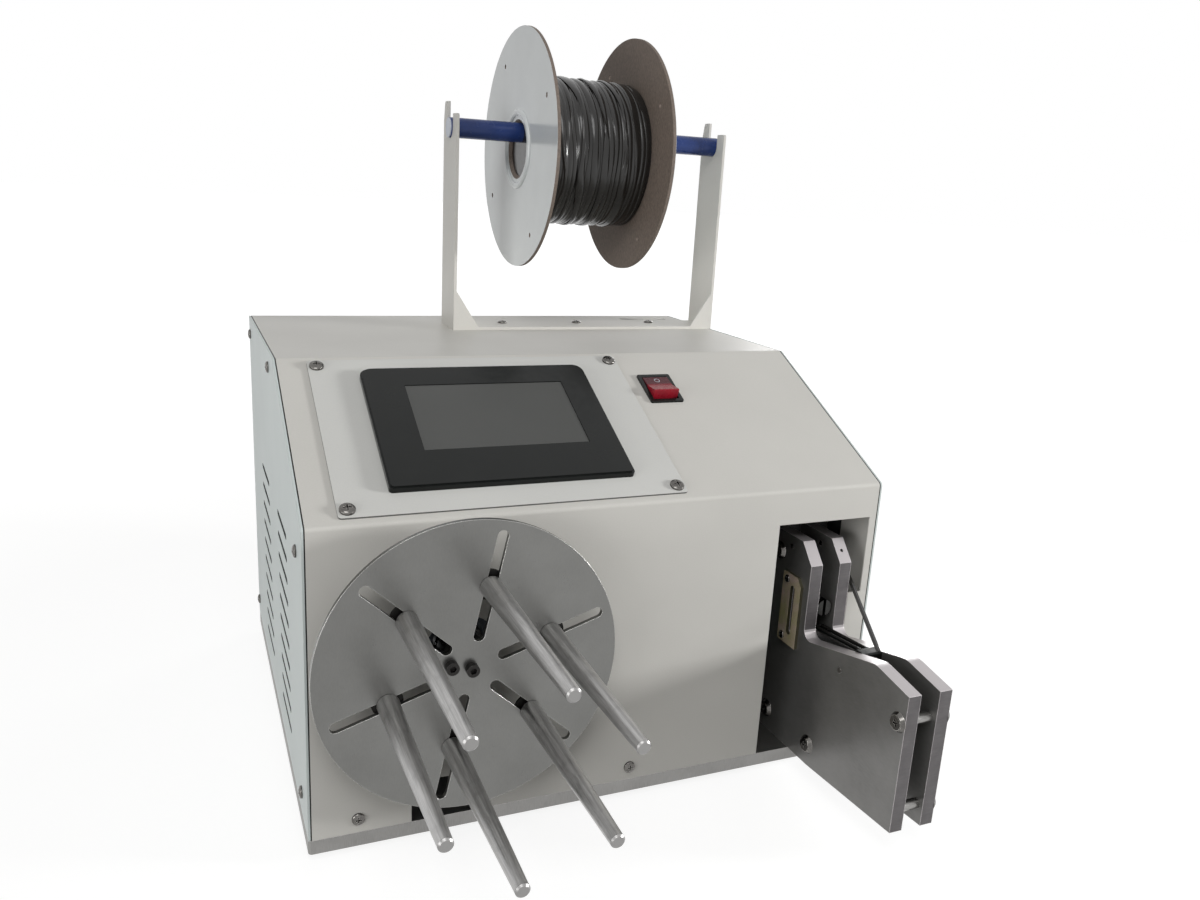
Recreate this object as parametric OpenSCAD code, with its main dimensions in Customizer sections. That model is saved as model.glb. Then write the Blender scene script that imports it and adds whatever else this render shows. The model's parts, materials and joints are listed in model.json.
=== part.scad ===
// Cable coiling machine for the bench. A slotted disc with six fingers winds the cable into a coil,
// and the tie unit beside it closes a tie, drawn from the spool on top, round the coil.
// Machine frame of the measures below: X from the left side, Y from the front face to the back,
// Z from the floor. The finished part stands with its origin under the middle of its box.

/* [Housing] */
// Width over both side panels
body_w = 500; // [460:1:640]
// Depth from the front face to the back face
body_d = 440; // [400:1:560]
// Height of the upright front above the base plate
front_h = 251; // [240:1:310]
// Height of the top above the base plate
top_h = 340; // [325:1:420]
// Depth that the sloped panel takes
slope_d = 180; // [165:1:240]
// Thickness of the cover and back sheets
sheet_t = 1.5; // [1:0.1:2]
// Outer radius of the bends in the cover
bend_r = 4; // [3:0.5:8]
// Thickness of the side panels
side_t = 2; // [1.5:0.1:3]
// Thickness of the base plate
base_t = 12; // [8:1:16]
// Height of the rubber feet
foot_h = 8; // [6:1:20]
// Radius of the rubber feet
foot_r = 14; // [10:1:20]
// Distance of the feet from the edges of the base plate
foot_inset = 34; // [25:1:60]

/* [Side louvres] */
// Length of one vent slot
vent_len = 70; // [40:1:80]
// Height of one vent slot
vent_h = 5; // [3:0.5:7]
// Distance between rows of vent slots
vent_pitch = 19.3; // [12:0.1:22]
// Rows of vent slots
vent_rows = 10; // [4:1:10]
// Height of the lowest row above the base plate
vent_z = 34.5; // [28:0.5:60]
// Middle of the front column, from the front face
vent_front_y = 139; // [110:1:160]
// Middle of the rear column, from the front face
vent_rear_y = 287; // [240:1:320]

/* [Operator panel] */
// Width of the mounting plate on the slope
plate_w = 281; // [230:1:300]
// Height of the mounting plate on the slope
plate_l = 188; // [160:1:190]
// Left edge of the mounting plate
plate_x = 26.5; // [15:0.5:40]
// Thickness of the mounting plate
plate_t = 1.5; // [1:0.1:3]
// Width of the screen's bezel
bezel_w = 200.4; // [150:0.1:226]
// Height of the screen's bezel
bezel_l = 146.5; // [110:0.1:163]
// How far the bezel stands above its plate
bezel_h = 6; // [4:0.5:9]
// Radius of the bezel's upper corners
bezel_r = 9; // [4:0.5:14]
// Width of the lit screen
screen_w = 139; // [100:1:150]
// Height of the lit screen
screen_l = 82; // [60:1:90]
// Width of the rocker switch's frame
rocker_w = 33; // [25:0.5:36]
// Length of the rocker switch's frame
rocker_l = 40; // [30:0.5:44]
// Left edge of the rocker switch
rocker_x = 320.5; // [312:0.5:380]
// Distance of the switch from the slope's lower bend
rocker_s = 124; // [100:1:140]

/* [Winding disc] */
// Centre of the disc from the left side
disc_x = 117; // [117:1:140]
// Centre of the disc above the base plate
disc_z = 142; // [125:1:160]
// Radius of the disc
disc_r = 116.5; // [95:0.5:125]
// Thickness of the disc
disc_t = 4; // [3:0.5:6]
// Gap between the front face and the disc's back
disc_gap = 24; // [20:0.5:32]
// Number of slots and fingers
finger_count = 6; // [6]
// Angle of the first slot
slot_turn = 18; // [0:1:59]
// Inner end of the slots, from the centre
slot_in = 21.5; // [21:0.5:30]
// Outer end of the slots, from the rim
slot_rim = 7.5; // [5:0.5:12]
// Width of the slots
slot_w = 8.6; // [7:0.1:10.4]
// Distance of the fingers from the centre, as drawn
finger_at = 65; // [55:1:75]
// Length of a finger in front of the disc
finger_len = 168; // [120:1:200]
// Diameter of a finger at the disc
finger_d = 17; // [14:0.5:20]
// Diameter of a finger at its tip
finger_tip_d = 10; // [7:0.5:12]
// Diameter of the spindle
spindle_d = 20; // [17:0.5:24]

/* [Tie unit] */
// Width of the opening in the front
opening_w = 94.5; // [85:0.5:120]
// Strip of front sheet to the right of the opening
opening_edge = 9.5; // [8:0.5:14]
// Height of the lower, narrower part of the opening
opening_step_h = 149; // [120:1:160]
// How much narrower the lower part of the opening is
opening_step_w = 13.5; // [8:0.5:16]
// Sheet left above the opening, below the bend
opening_below_bend = 30.5; // [25:0.5:50]
// Thickness of the two tie plates
tie_t = 12; // [10:0.5:14]
// Clear gap between the tie plates
tie_gap = 18.5; // [16:0.5:22]
// Left face of the left tie plate, from the opening's left edge
tie_in = 34; // [30:0.5:36]
// Reach of the tie plates in front of the machine
tie_reach = 145; // [120:1:160]
// Height of the tie plates' front end
tie_nose_h = 128; // [110:1:140]

/* [Spool] */
// Width of the spool bracket
bracket_w = 306; // [260:1:340]
// Depth of the spool bracket
bracket_d = 50; // [40:1:60]
// Thickness of the bracket sheet
bracket_t = 3; // [2:0.5:4]
// Height of the shaft's centre above the top of the housing
shaft_h = 202.5; // [180:0.5:240]
// Diameter of the spool shaft
shaft_d = 20; // [16:0.5:24]
// Diameter of the spool's flanges
spool_d = 240; // [200:1:250]
// Width over the spool's flanges
spool_w = 125; // [100:1:150]
// Thickness of a flange
flange_t = 3.5; // [2.5:0.5:5]
// Diameter of the bore through the spool
spool_bore_d = 54; // [45:0.5:60]
// Diameter of the wound tie on the spool
winding_d = 152; // [100:1:200]
// Left face of the spool, from the bracket's left face
spool_in = 72; // [50:1:90]

/* [Drive] */
// Distance from the spindle to the motor shaft
belt_centres = 115; // [100:1:130]
// Radius of the pulley on the spindle
driven_r = 36; // [30:1:40]
// Radius of the pulley on the motor
drive_r = 18; // [14:1:20]
// Width of the belt
belt_w = 12; // [9:1:15]

/* [Clearances] */
// Gap between the cover and the side panels
panel_gap = 0.4; // [0.2:0.1:0.8]
// Clearance between pieces that slide or hang
slide_gap = 0.3; // [0.3:0.05:0.5]
// Radial clearance of a running fit
run_gap = 0.05; // [0.02:0.01:0.09]
// Radial clearance of a screw in its hole
screw_gap = 0.1; // [0.05:0.05:0.5]

/* [Hidden] */
$fn = 48;
e = 0.01;

// Levels of the base and the top, and the angle and length of the slope
base_z = foot_h + base_t;
top_z = base_z + top_h;
slope_a = atan2(top_h - front_h, slope_d);
slope_l = norm([slope_d, top_h - front_h]);

// Operator panel, its case and screen, and the screws of the cover
plate_s = 7;
plate_screw_in = [7.5, 8.2];
plate_screw_d = 6;
bezel_x = plate_x + 40;
bezel_s = plate_s + 22;
screen_x = bezel_x + 34;
screen_s = bezel_s + 39.5;
screen_t = 1.2;
case_in = 5;
case_depth = 32;
cover_screw_d = 5;
cover_screw_z = 12;
cover_screw_x = [37.5, body_w - 232.5];
screw_block = [22, 11];
side_screw_d = 5;
side_screw_at = [
    [36, 20.5], [body_d - 14, 20.5], [36, front_h - 28.5], [body_d - 14, top_h - 17.5],
    [slope_d + 42, top_h - 15]
];

// Rocker switch, measured from its frame
rocker_pivot_n = -1.5;
rocker_pin_r = 1.5;
rocker_body_in = 2.7;
rocker_wall = 3.6;
rocker_half = rocker_l / 2 - 5.5;
rocker_tilt = 14;

// Left edge, width and height of the notch under the front, and the slot for the tie in the top
cable_notch = [79, 56, 35.3];
tie_slot = [60, 8];

// Feet and the flanges of the bent sheets
foot_at = [for (x = [foot_inset, body_w - foot_inset], y = [foot_inset, body_d - foot_inset]) [x, y]];
foot_pin_r = 3;
foot_pin_h = 6;
flange_w = 30;
front_flange_w = 45;

// Sockets, supply, board and vents at the back
inlet_x = 70;
inlet_size = [27, 20];
inlet_screw = 20;
inlet_flange_t = 3;
socket_x = 140;
socket_d = 16;
socket_z = base_z + 55;
supply_at = [30, 200];
supply_size = [110, 170, 42];
board_at = [250, 180];
board_size = [140, 150, 1.6];
board_post_h = 12;
rear_vent_x = 330;
rear_vent_z = 120;
rear_vent_rows = 8;

// Reach to the front and to the back, which set the middle of the part
front_reach = disc_gap + disc_t + finger_len;
rear_reach = max(body_d + inlet_flange_t, body_d - 59 - bracket_d / 2 + spool_d / 2);
mid_y = (rear_reach - front_reach) / 2;

// Disc, hub and fingers
spindle_z = base_z + disc_z;
slot_out = disc_r - slot_rim;
hub_r = slot_in - 0.5;
hub_t = 9;
hub_hole_r = 30;
sleeve_r = 17;
nose_r = 13.5;
tip_chamfer = 1.2;
washer_r = 12;
washer_t = 2;
nut_r = 7.4;
nut_t = 6.5;
disc_bolt_at = [[0, 0], [16 * cos(166), 16 * sin(166)]];
disc_bolt_d = 6;

// Bearings, their housing and the drive behind it
bearing_w = 12;
bearing_r = 21;
ball_r = 2.6;
ball_ring_r = 15.6;
housing_y = 12;
housing_len = 54;
bearing_at = [housing_y + 2, housing_y + housing_len - 2 - bearing_w];
housing_bolt_r = 38.5;
housing_bolt_d = 6;
foot_bolt_d = 6;
belt_t = 2;
stand_t = 8;
stand_y = housing_y + housing_len;
pulley_y = stand_y + stand_t + 14;
spindle_end_y = pulley_y + belt_w + 6;
motor_x = disc_x + belt_centres;
motor_shaft_d = 14;
motor_stand_y = pulley_y + belt_w + 10;
motor_size = 80;
motor_len = 126;
motor_bolt = 33;
motor_bolt_d = 6;
stand_w = 104;
stand_foot = 46;
foot_bolts = [
    for (c = [[disc_x, stand_y], [motor_x, motor_stand_y]], s = [-1, 1]) c + [s * 34, stand_foot - 12]
];

// Opening in the front and the two tie plates in it
opening_x = body_w - opening_edge - opening_w;
opening_h = front_h - opening_below_bend;
tie_x = opening_x + tie_in;
tie_x2 = tie_x + tie_t + tie_gap;
tie_mid_x = tie_x + tie_t + tie_gap / 2;
tie_back_y = 60;
arm_y = -5;
arm_h = opening_h - 21.5;
arm_chamfer = [16, 18];
hump_y = -103;
hump_h = tie_nose_h + 7.5;
floor_fall = 0.249;
foot_floor_h = hump_h + floor_fall * (hump_y - arm_y);
nose_low_h = 8;
post_d = 8.5;
post_at = [[8 - tie_reach, 102.5], [8 - tie_reach, 24], [-28, 19.6], [40, 19.6], [44, arm_h - 20]];
cup_at = [[8 - tie_reach, 102.5], [-28, 19.6], [40, 19.6], [44, arm_h - 20]];
cup_d = 17;
post_screw_d = 4;
pin_at = [[-59.5, 108.5], [26.5, arm_h - 10]];
pin_d = 4.8;
back_plate_t = 8;
tie_back_bolts = [for (x = [tie_x, tie_x2], z = [34, arm_h - 98]) [x + tie_t / 2, base_z + z]];
tie_foot_bolts = [for (x = [tie_x, tie_x2], y = [12, 53.5]) [x + tie_t / 2, y]];
tie_bolt_d = 5;
tie_bolt_in = 12;
tie_head_in = 6.5;
slotted_size = [28, 67];
slotted_t = 3;
slotted_y = 3;
slotted_z = arm_h - 101;
slotted_screw_d = 3.5;
slotted_screw_at = [for (z = [6, slotted_size[1] - 6]) [slotted_y + slotted_size[0] - 7, slotted_z + z]];
slot_at = [slotted_y + 12, slotted_z + slotted_size[1] / 2];

// Guide, twist shaft, feed unit and the path of the tie
guide_back_y = 9;
guide_tip = [-74, hump_h + floor_fall * (hump_y + 74) - 3];
guide_block = [11, 2.5];
rotor_z = base_z + foot_floor_h + 27;
rotor_y = -2;
rotor_block_y = 24;
rotor_d = 8;
feed_x = tie_x2 + tie_t + 6.7;
feed_y = tie_back_y + back_plate_t + 24;
feed_z = base_z + arm_h - 24;
feed_r = 13;
pinch_r = 10;
band_t = 1.2;
band_w = 4.8;
pinch_z = feed_z + feed_r + band_t + 0.6 + pinch_r;
cheek_in = 9;
cheek_t = 3;
cheek_d = 48;
cheek_z = feed_z - feed_r - 4;
feed_shaft_d = 8;
feed_shaft_in = 16;
pinch_shaft_d = 6;
band_feed_z = feed_z + feed_r + 0.3 + band_t / 2;
band_path = [
    [feed_x, feed_y + 14, band_feed_z], [feed_x, feed_y - 14, band_feed_z],
    [feed_x, arm_y + 12, base_z + arm_h - 33.5],
    [tie_x2 - 3.3, guide_tip[0] + 1, base_z + guide_tip[1] + guide_block[1] + band_t / 2 + 0.1]
];
band_window = [band_w + 4, 12];
band_window_z = band_feed_z - 4.5;

// Spool bracket, shaft and spool
bracket_x = body_w - bracket_w;
bracket_y = body_d - 59 - bracket_d;
shaft_y = bracket_y + bracket_d / 2;
shaft_z = top_z + shaft_h;
shaft_over = 1;
cap_t = 1.2;
notch_r = shaft_d / 2 + slide_gap;
back_prong_h = 26;
front_prong_h = 13;
bracket_screw_x = [63, 150, 240];
spool_x = bracket_x + spool_in;
spool_z = shaft_z + shaft_d / 2 + slide_gap - spool_bore_d / 2;
hub_d = 84;
rim_r = 40;

// Points of an arc about c, from angle a0 to a1
function arc(c, r, a0, a1, n) = [
    for (i = [0:n]) let (a = a0 + (a1 - a0) * i / n) c + r * [cos(a), sin(a)]
];

function unit(v) = v / norm(v);
function cross2(a, b) = a[0] * b[1] - a[1] * b[0];

// The corner p between its neighbours a and b, rounded to radius r, or left sharp when r is 0
function corner(a, p, b, r, n) =
    r == 0 ? [p] :
    let (
        ua = unit(a - p),
        ub = unit(b - p),
        half = acos(ua * ub) / 2,
        reach = r / tan(half),
        c = p + unit(ua + ub) * r / sin(half),
        pa = p + ua * reach,
        a0 = atan2(pa[1] - c[1], pa[0] - c[0]),
        turn = (180 - 2 * half) * (cross2(ua, ub) > 0 ? -1 : 1)
    ) arc(c, r, a0, a0 + turn, n);

// Closed outline through [x, y, radius] corners
function rounded(pts, n = 8) = [
    for (i = [0:len(pts) - 1])
        let (
            m = len(pts),
            a = pts[(i + m - 1) % m],
            p = pts[i],
            b = pts[(i + 1) % m]
        )
        each corner([a[0], a[1]], [p[0], p[1]], [b[0], b[1]], p[2], n)
];

// Moves a piece from the machine frame to the part's own frame
module part(c) color(c) translate([-body_w / 2, -mid_y, 0]) children();

// Local Z points out of the front face, local Y up
module facing_front(x, y, z) translate([x, y, z]) rotate([90, 0, 0]) children();

// Local Z points to the back
module facing_back(x, y, z) translate([x, y, z]) rotate([-90, 0, 0]) children();

// Local Z points to the right
module facing_right(x, y, z) translate([x, y, z]) rotate([0, 90, 0]) children();

// Extrudes an outline drawn in Y and Z along X
module along_x(x, len) translate([x, 0, 0]) rotate([90, 0, 90]) linear_extrude(len) children();

// Local X runs along the slope's width, local Y up the slope and local Z out of it
module on_slope(x, s, n = 0)
    translate([0, 0, base_z + front_h]) rotate([slope_a, 0, 0]) translate([x, s, n]) children();

module rounded_box(w, l, h, r)
    linear_extrude(h) polygon(rounded([[0, 0, r], [w, 0, r], [w, l, r], [0, l, r]]));

// A flat bar with round ends, along local X, from x0 to x1
module round_bar(x0, x1, w, h) {
    translate([x0, -w / 2, 0]) cube([x1 - x0, w, h]);
    for (x = [x0, x1]) translate([x, 0, 0]) cylinder(d = w, h = h);
}

// Hole for a screw of diameter d, from the plane z = 0 up to len
module drill(d, len) cylinder(d = d + 2 * screw_gap, h = len);

// Pan-head screw on the plane z = 0, with its shank below
module pan_screw(d, len) {
    head_r = d;
    head_h = 0.55 * d;
    difference() {
        rotate_extrude() polygon(concat(
            [[0, 0], [head_r, 0]],
            [for (i = [0:5]) [head_r * cos(90 * i / 6), head_h * (0.35 + 0.65 * sin(90 * i / 6))]],
            [[0, head_h]]
        ));
        for (a = [0, 90]) rotate(a) translate([-0.55 * d, -0.1 * d, head_h - 0.3 * d])
            cube([1.1 * d, 0.2 * d, d]);
    }
    translate([0, 0, -len]) cylinder(d = d, h = len);
}

// Socket-head screw on the plane z = 0, with its shank below
module socket_screw(d, len) {
    difference() {
        cylinder(r = 0.83 * d, h = d);
        translate([0, 0, 0.45 * d]) cylinder(r = 0.47 * d, h = d, $fn = 6);
    }
    translate([0, 0, -len]) cylinder(d = d, h = len);
}

// Countersunk screw in a cup washer on the plane z = 0, with its shank below
module cup_screw(len) {
    difference() {
        cylinder(r1 = cup_d / 2, r2 = cup_d / 2 - 2, h = 3);
        translate([0, 0, 0.8]) cylinder(r1 = 3.2, r2 = 6.2, h = 2.2 + e);
        translate([0, 0, -1]) drill(post_screw_d, 5);
    }
    difference() {
        union() {
            translate([0, 0, 0.8]) cylinder(r1 = 3.1, r2 = 6, h = 2.4);
            translate([0, 0, -len]) cylinder(d = post_screw_d, h = len + 1);
        }
        for (a = [20, 110]) rotate(a) translate([-3, -0.6, 2.2]) cube([6, 1.2, 3]);
    }
}

// Base plate, with a steel block behind each screw of the upright front
module base_plate() part("dimgray") difference() {
    union() {
        translate([0, 0, foot_h]) rounded_box(body_w, body_d, base_t, 3);
        for (x = cover_screw_x) translate([x - screw_block[0] / 2, sheet_t, base_z - 1])
            cube([screw_block[0], screw_block[1], 2 * cover_screw_z + 1]);
    }
    for (p = foot_at) translate([p[0], p[1], foot_h - e])
        cylinder(r = foot_pin_r + screw_gap, h = foot_pin_h + 1);
    for (x = cover_screw_x) facing_front(x, sheet_t + screw_block[1] - 2, base_z + cover_screw_z)
        drill(cover_screw_d, screw_block[1]);
    for (p = foot_bolts) translate([p[0], p[1], base_z - 9]) drill(foot_bolt_d, 10);
    tie_foot_holes();
    for (p = tie_foot_bolts) translate([p[0], p[1], foot_h - 1])
        cylinder(d = 2 * tie_bolt_d, h = tie_head_in + 1);
}

module rubber_feet() part([0.08, 0.08, 0.08])
    for (p = foot_at) translate([p[0], p[1], 0]) {
        difference() {
            cylinder(r1 = foot_r - 2, r2 = foot_r, h = foot_h);
            translate([0, 0, -1]) cylinder(r = foot_r / 2, h = 4);
        }
        translate([0, 0, foot_h - 1]) cylinder(r = foot_pin_r, h = foot_pin_h + 1);
    }

// The bent cover: upright front, slope and top, one sheet with flanges along both sides
module cover_sheet() {
    outer = rounded([
        [0, base_z, 0], [0, base_z + front_h, bend_r], [slope_d, top_z, bend_r], [body_d, top_z, 0],
        [body_d, base_z, 0]
    ]);
    ti = tan((90 - slope_a) / 2) * sheet_t;
    tj = tan(slope_a / 2) * sheet_t;
    inner = rounded([
        [sheet_t, base_z - 1, 0], [sheet_t, base_z + front_h - ti, bend_r - sheet_t],
        [slope_d + tj, top_z - sheet_t, bend_r - sheet_t], [body_d + 1, top_z - sheet_t, 0],
        [body_d + 1, base_z - 1, 0]
    ]);
    along_x(side_t + panel_gap, body_w - 2 * (side_t + panel_gap)) difference() {
        polygon(outer);
        polygon(inner);
    }
}

// Flanges that the cover is screwed to the side panels by
module cover_flange(x) {
    translate([x, sheet_t / 2, base_z + 3]) cube([sheet_t, front_flange_w, front_h - 12]);
    on_slope(x, 8, -flange_w / 2) cube([sheet_t, slope_l - 16, flange_w / 2 - sheet_t / 2]);
    translate([x, slope_d + 8, top_z - sheet_t / 2 - flange_w])
        cube([sheet_t, body_d - slope_d - 10, flange_w]);
}

// Passage for the rear case of the operator panel
module case_cut() on_slope(bezel_x + case_in - 1, bezel_s + case_in - 1, -8)
    cube([bezel_w - 2 * case_in + 2, bezel_l - 2 * case_in + 2, 20]);

module plate_screw_holes()
    for (p = plate_screws()) on_slope(p[0], p[1], -8) drill(plate_screw_d, 20);

module front_cover() part("gainsboro") difference() {
    union() {
        cover_sheet();
        cover_flange(side_t + panel_gap);
        cover_flange(body_w - side_t - panel_gap - sheet_t);
    }
    translate([opening_x, -5, base_z + opening_step_h]) cube([opening_w, 20, opening_h - opening_step_h]);
    translate([opening_x, -5, base_z - 5]) cube([opening_w - opening_step_w, 20, opening_step_h + 5 + e]);
    translate([cable_notch[0], -5, base_z - 1]) cube([cable_notch[1], 12, cable_notch[2] + 1]);
    facing_front(disc_x, 5, spindle_z) cylinder(r = hub_hole_r, h = 10);
    for (x = cover_screw_x) facing_front(x, 5, base_z + cover_screw_z) drill(cover_screw_d, 10);
    case_cut();
    plate_screw_holes();
    on_slope(rocker_x + 2.5, rocker_s + 2.5, -8) cube([rocker_w - 5, rocker_l - 5, 20]);
    bracket_screw_holes();
    translate([tie_mid_x - tie_slot[0] / 2, body_d - 32, top_z - 8]) cube([tie_slot[0], tie_slot[1], 20]);
    side_screw_holes();
}

// Holes for the side screws, right across the housing
module side_screw_holes()
    for (p = side_screw_at) facing_right(-1, p[0], base_z + p[1]) drill(side_screw_d, body_w + 2);

// One side panel, its left face at x, with two columns of vent slots
module side_panel(x) difference() {
    along_x(x, side_t) polygon(rounded([
        [0, base_z, 1], [0, base_z + front_h, bend_r], [slope_d, top_z, bend_r], [body_d, top_z, 1],
        [body_d, base_z, 1]
    ]));
    for (y = [vent_front_y, vent_rear_y], i = [0:vent_rows - 1])
        translate([x - 1, y, base_z + vent_z + i * vent_pitch]) rotate([90, 0, 90])
            round_bar(-(vent_len - vent_h) / 2, (vent_len - vent_h) / 2, vent_h, side_t + 2);
    side_screw_holes();
}

module left_side_panel() part("whitesmoke") side_panel(0);
module right_side_panel() part("whitesmoke") side_panel(body_w - side_t);

// Back sheet with a flange along each side, vents, and the cut-outs for the two sockets
module rear_panel() part("gainsboro") {
    rear_w = body_w - 2 * (side_t + panel_gap);
    difference() {
        translate([side_t + panel_gap, body_d - sheet_t, base_z]) union() {
            cube([rear_w, sheet_t, top_h - sheet_t - panel_gap]);
            for (x = [0, rear_w - sheet_t]) translate([x, -flange_w, 3])
                cube([sheet_t, flange_w + 1, top_h - flange_w - 12]);
        }
        translate([inlet_x - inlet_size[0] / 2, body_d - 10, socket_z - inlet_size[1] / 2])
            cube([inlet_size[0], 20, inlet_size[1]]);
        for (s = [-1, 1]) facing_back(inlet_x + s * inlet_screw, body_d - 5, socket_z) drill(3, 10);
        facing_back(socket_x, body_d - 5, socket_z) drill(socket_d, 10);
        for (i = [0:rear_vent_rows - 1])
            translate([rear_vent_x, body_d + 2, base_z + rear_vent_z + i * vent_pitch]) rotate([90, 0, 0])
                round_bar(-vent_len / 2, vent_len / 2, vent_h, sheet_t + 4);
        side_screw_holes();
    }
}

module cover_screws() part("silver")
    for (x = cover_screw_x) facing_front(x, 0, base_z + cover_screw_z) pan_screw(cover_screw_d, 9);

module side_panel_screws() part("silver")
    for (p = side_screw_at) {
        translate([0, p[0], base_z + p[1]]) rotate([0, -90, 0]) pan_screw(side_screw_d, 8);
        facing_right(body_w, p[0], base_z + p[1]) pan_screw(side_screw_d, 8);
    }

function plate_screws() = [
    for (x = [plate_x + plate_screw_in[0], plate_x + plate_w - plate_screw_in[0]])
        for (s = [plate_s + plate_screw_in[1], plate_s + plate_l - plate_screw_in[1]]) [x, s]
];

module hmi_plate() part([0.86, 0.86, 0.84]) difference() {
    on_slope(plate_x, plate_s, e) rounded_box(plate_w, plate_l, plate_t, 3);
    case_cut();
    plate_screw_holes();
}

module hmi_plate_screws() part("silver")
    for (p = plate_screws()) on_slope(p[0], p[1], plate_t + e) pan_screw(plate_screw_d, 8);

// Bezel outline inset by g: round upper corners, nearly square lower ones
function bezel_outline(g) = rounded([
    [g, g, 3], [bezel_w - g, g, 3], [bezel_w - g, bezel_l - g, bezel_r], [g, bezel_l - g, bezel_r]
]);

module hmi_bezel() part([0.1, 0.1, 0.11]) on_slope(bezel_x, bezel_s, plate_t + 2 * e) difference() {
    union() {
        linear_extrude(bezel_h - 1.5) polygon(bezel_outline(0));
        translate([0, 0, bezel_h - 1.5]) linear_extrude(1.5) polygon(bezel_outline(1.2));
    }
    translate([screen_x - bezel_x, screen_s - bezel_s, bezel_h - screen_t - 0.6])
        cube([screen_w, screen_l, 10]);
    translate([screen_x - bezel_x + 3, screen_s - bezel_s + 3, -1]) cube([screen_w - 6, screen_l - 6, 20]);
}

module hmi_screen() part([0.2, 0.21, 0.22])
    on_slope(screen_x + panel_gap / 2, screen_s + panel_gap / 2, plate_t + bezel_h - screen_t - 0.6 + 3 * e)
        cube([screen_w - panel_gap, screen_l - panel_gap, screen_t]);

// Rear case of the operator panel, with its connector strip and four clamps
module hmi_case() part([0.15, 0.15, 0.16])
    on_slope(bezel_x + case_in, bezel_s + case_in, plate_t - case_depth) {
    cw = bezel_w - 2 * case_in;
    cl = bezel_l - 2 * case_in;
    difference() {
        rounded_box(cw, cl, case_depth, 4);
        for (i = [0:9]) translate([20 + i * 16, cl - 30, -1]) cube([6, 22, 4]);
        translate([30, 10, -1]) cube([32, 12, 9]);
        translate([80, 10, -1]) cube([32, 12, 9]);
    }
}

module rocker_frame() part([0.07, 0.07, 0.07]) on_slope(rocker_x, rocker_s, e) difference() {
    union() {
        rounded_box(rocker_w, rocker_l, 2, 1.5);
        translate([rocker_body_in, rocker_body_in, -24])
            cube([rocker_w - 2 * rocker_body_in, rocker_l - 2 * rocker_body_in, 25]);
        for (x = [0.3, 0.7], y = [0.25, 0.75]) translate([rocker_w * x - 3, rocker_l * y - 0.5, -33])
            cube([6, 1, 10]);
    }
    translate([rocker_wall, rocker_wall, -14])
        cube([rocker_w - 2 * rocker_wall, rocker_l - 2 * rocker_wall, 30]);
    translate([rocker_body_in - 1, rocker_l / 2, rocker_pivot_n]) rotate([0, 90, 0])
        cylinder(r = rocker_pin_r + run_gap, h = rocker_w - 2 * rocker_body_in + 2);
}

// The rocker is drawn with its upper half pressed in, so its lower end stands out of the frame
module rocker_button() part("firebrick")
    on_slope(rocker_x + rocker_w / 2, rocker_s + rocker_l / 2, rocker_pivot_n) rotate([-rocker_tilt, 0, 0])
        rotate([90, 0, 90]) {
            half_w = rocker_w / 2 - rocker_wall - 0.4;
            pin_half = rocker_w / 2 - rocker_body_in - 0.2;
            translate([0, 0, -half_w]) linear_extrude(2 * half_w) polygon(rounded([
                [1.5 - rocker_half, -4.5, 0], [-rocker_half, 7.6, 1], [0, 5.4, 6], [rocker_half, 7.6, 1],
                [rocker_half - 1.5, -4.5, 0]
            ]));
            translate([0, 0, -pin_half]) cylinder(r = rocker_pin_r, h = 2 * pin_half);
        }

// Half-round notch open at the top, cut through an upright
module shaft_notch(x) {
    translate([x - 1, shaft_y, shaft_z]) rotate([0, 90, 0]) cylinder(r = notch_r, h = bracket_t + 2);
    translate([x - 1, shaft_y - notch_r, shaft_z]) cube([bracket_t + 2, 2 * notch_r, back_prong_h + 20]);
}

// One upright of the bracket, with its longer rear prong and its shorter front prong
module bracket_upright(x) difference() {
    along_x(x, bracket_t) polygon(rounded([
        [bracket_y, top_z, 0], [bracket_y, shaft_z + front_prong_h, 3],
        [shaft_y, shaft_z + front_prong_h, 0],
        [shaft_y, shaft_z + back_prong_h, 0], [bracket_y + bracket_d - 4, shaft_z + back_prong_h, 3],
        [bracket_y + bracket_d, shaft_z + 8, 3], [bracket_y + bracket_d, top_z, 0]
    ]));
    shaft_notch(x);
}

// Corner gusset bent in from the front edge of an upright; side is 1 on the left, -1 on the right
module bracket_gusset(x, side) translate([x, bracket_y + bracket_t, top_z]) rotate([90, 0, 0])
    linear_extrude(bracket_t) polygon([[0, 0], [side * 27, 0], [side * 27, bracket_t], [0, 45]]);

module spool_bracket() part("gainsboro") difference() {
    union() {
        translate([bracket_x, bracket_y, top_z]) cube([bracket_w, bracket_d, bracket_t]);
        bracket_upright(bracket_x);
        bracket_upright(bracket_x + bracket_w - bracket_t);
        bracket_gusset(bracket_x, 1);
        bracket_gusset(bracket_x + bracket_w, -1);
    }
    bracket_screw_holes();
}

module bracket_screw_holes()
    for (x = bracket_screw_x) translate([bracket_x + x, shaft_y + 6, top_z - 8]) drill(5, 20);

module bracket_screws() part("silver")
    for (x = bracket_screw_x) translate([bracket_x + x, shaft_y + 6, top_z + bracket_t]) pan_screw(5, 10);

module spool_shaft() part("navy")
    facing_right(bracket_x - shaft_over, shaft_y, shaft_z) difference() {
        cylinder(d = shaft_d, h = bracket_w + 2 * shaft_over);
        translate([0, 0, -1]) cylinder(d = shaft_d - 4, h = bracket_w + 2 * shaft_over + 2);
    }

module shaft_end_caps() part("lavender")
    for (s = [0, 1])
        facing_right(bracket_x - shaft_over + s * (bracket_w + 2 * shaft_over), shaft_y, shaft_z)
            mirror([0, 0, s]) {
                translate([0, 0, -cap_t]) cylinder(d = shaft_d - 0.6, h = cap_t);
                cylinder(d = shaft_d - 4 - 0.02, h = 10);
            }

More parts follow.
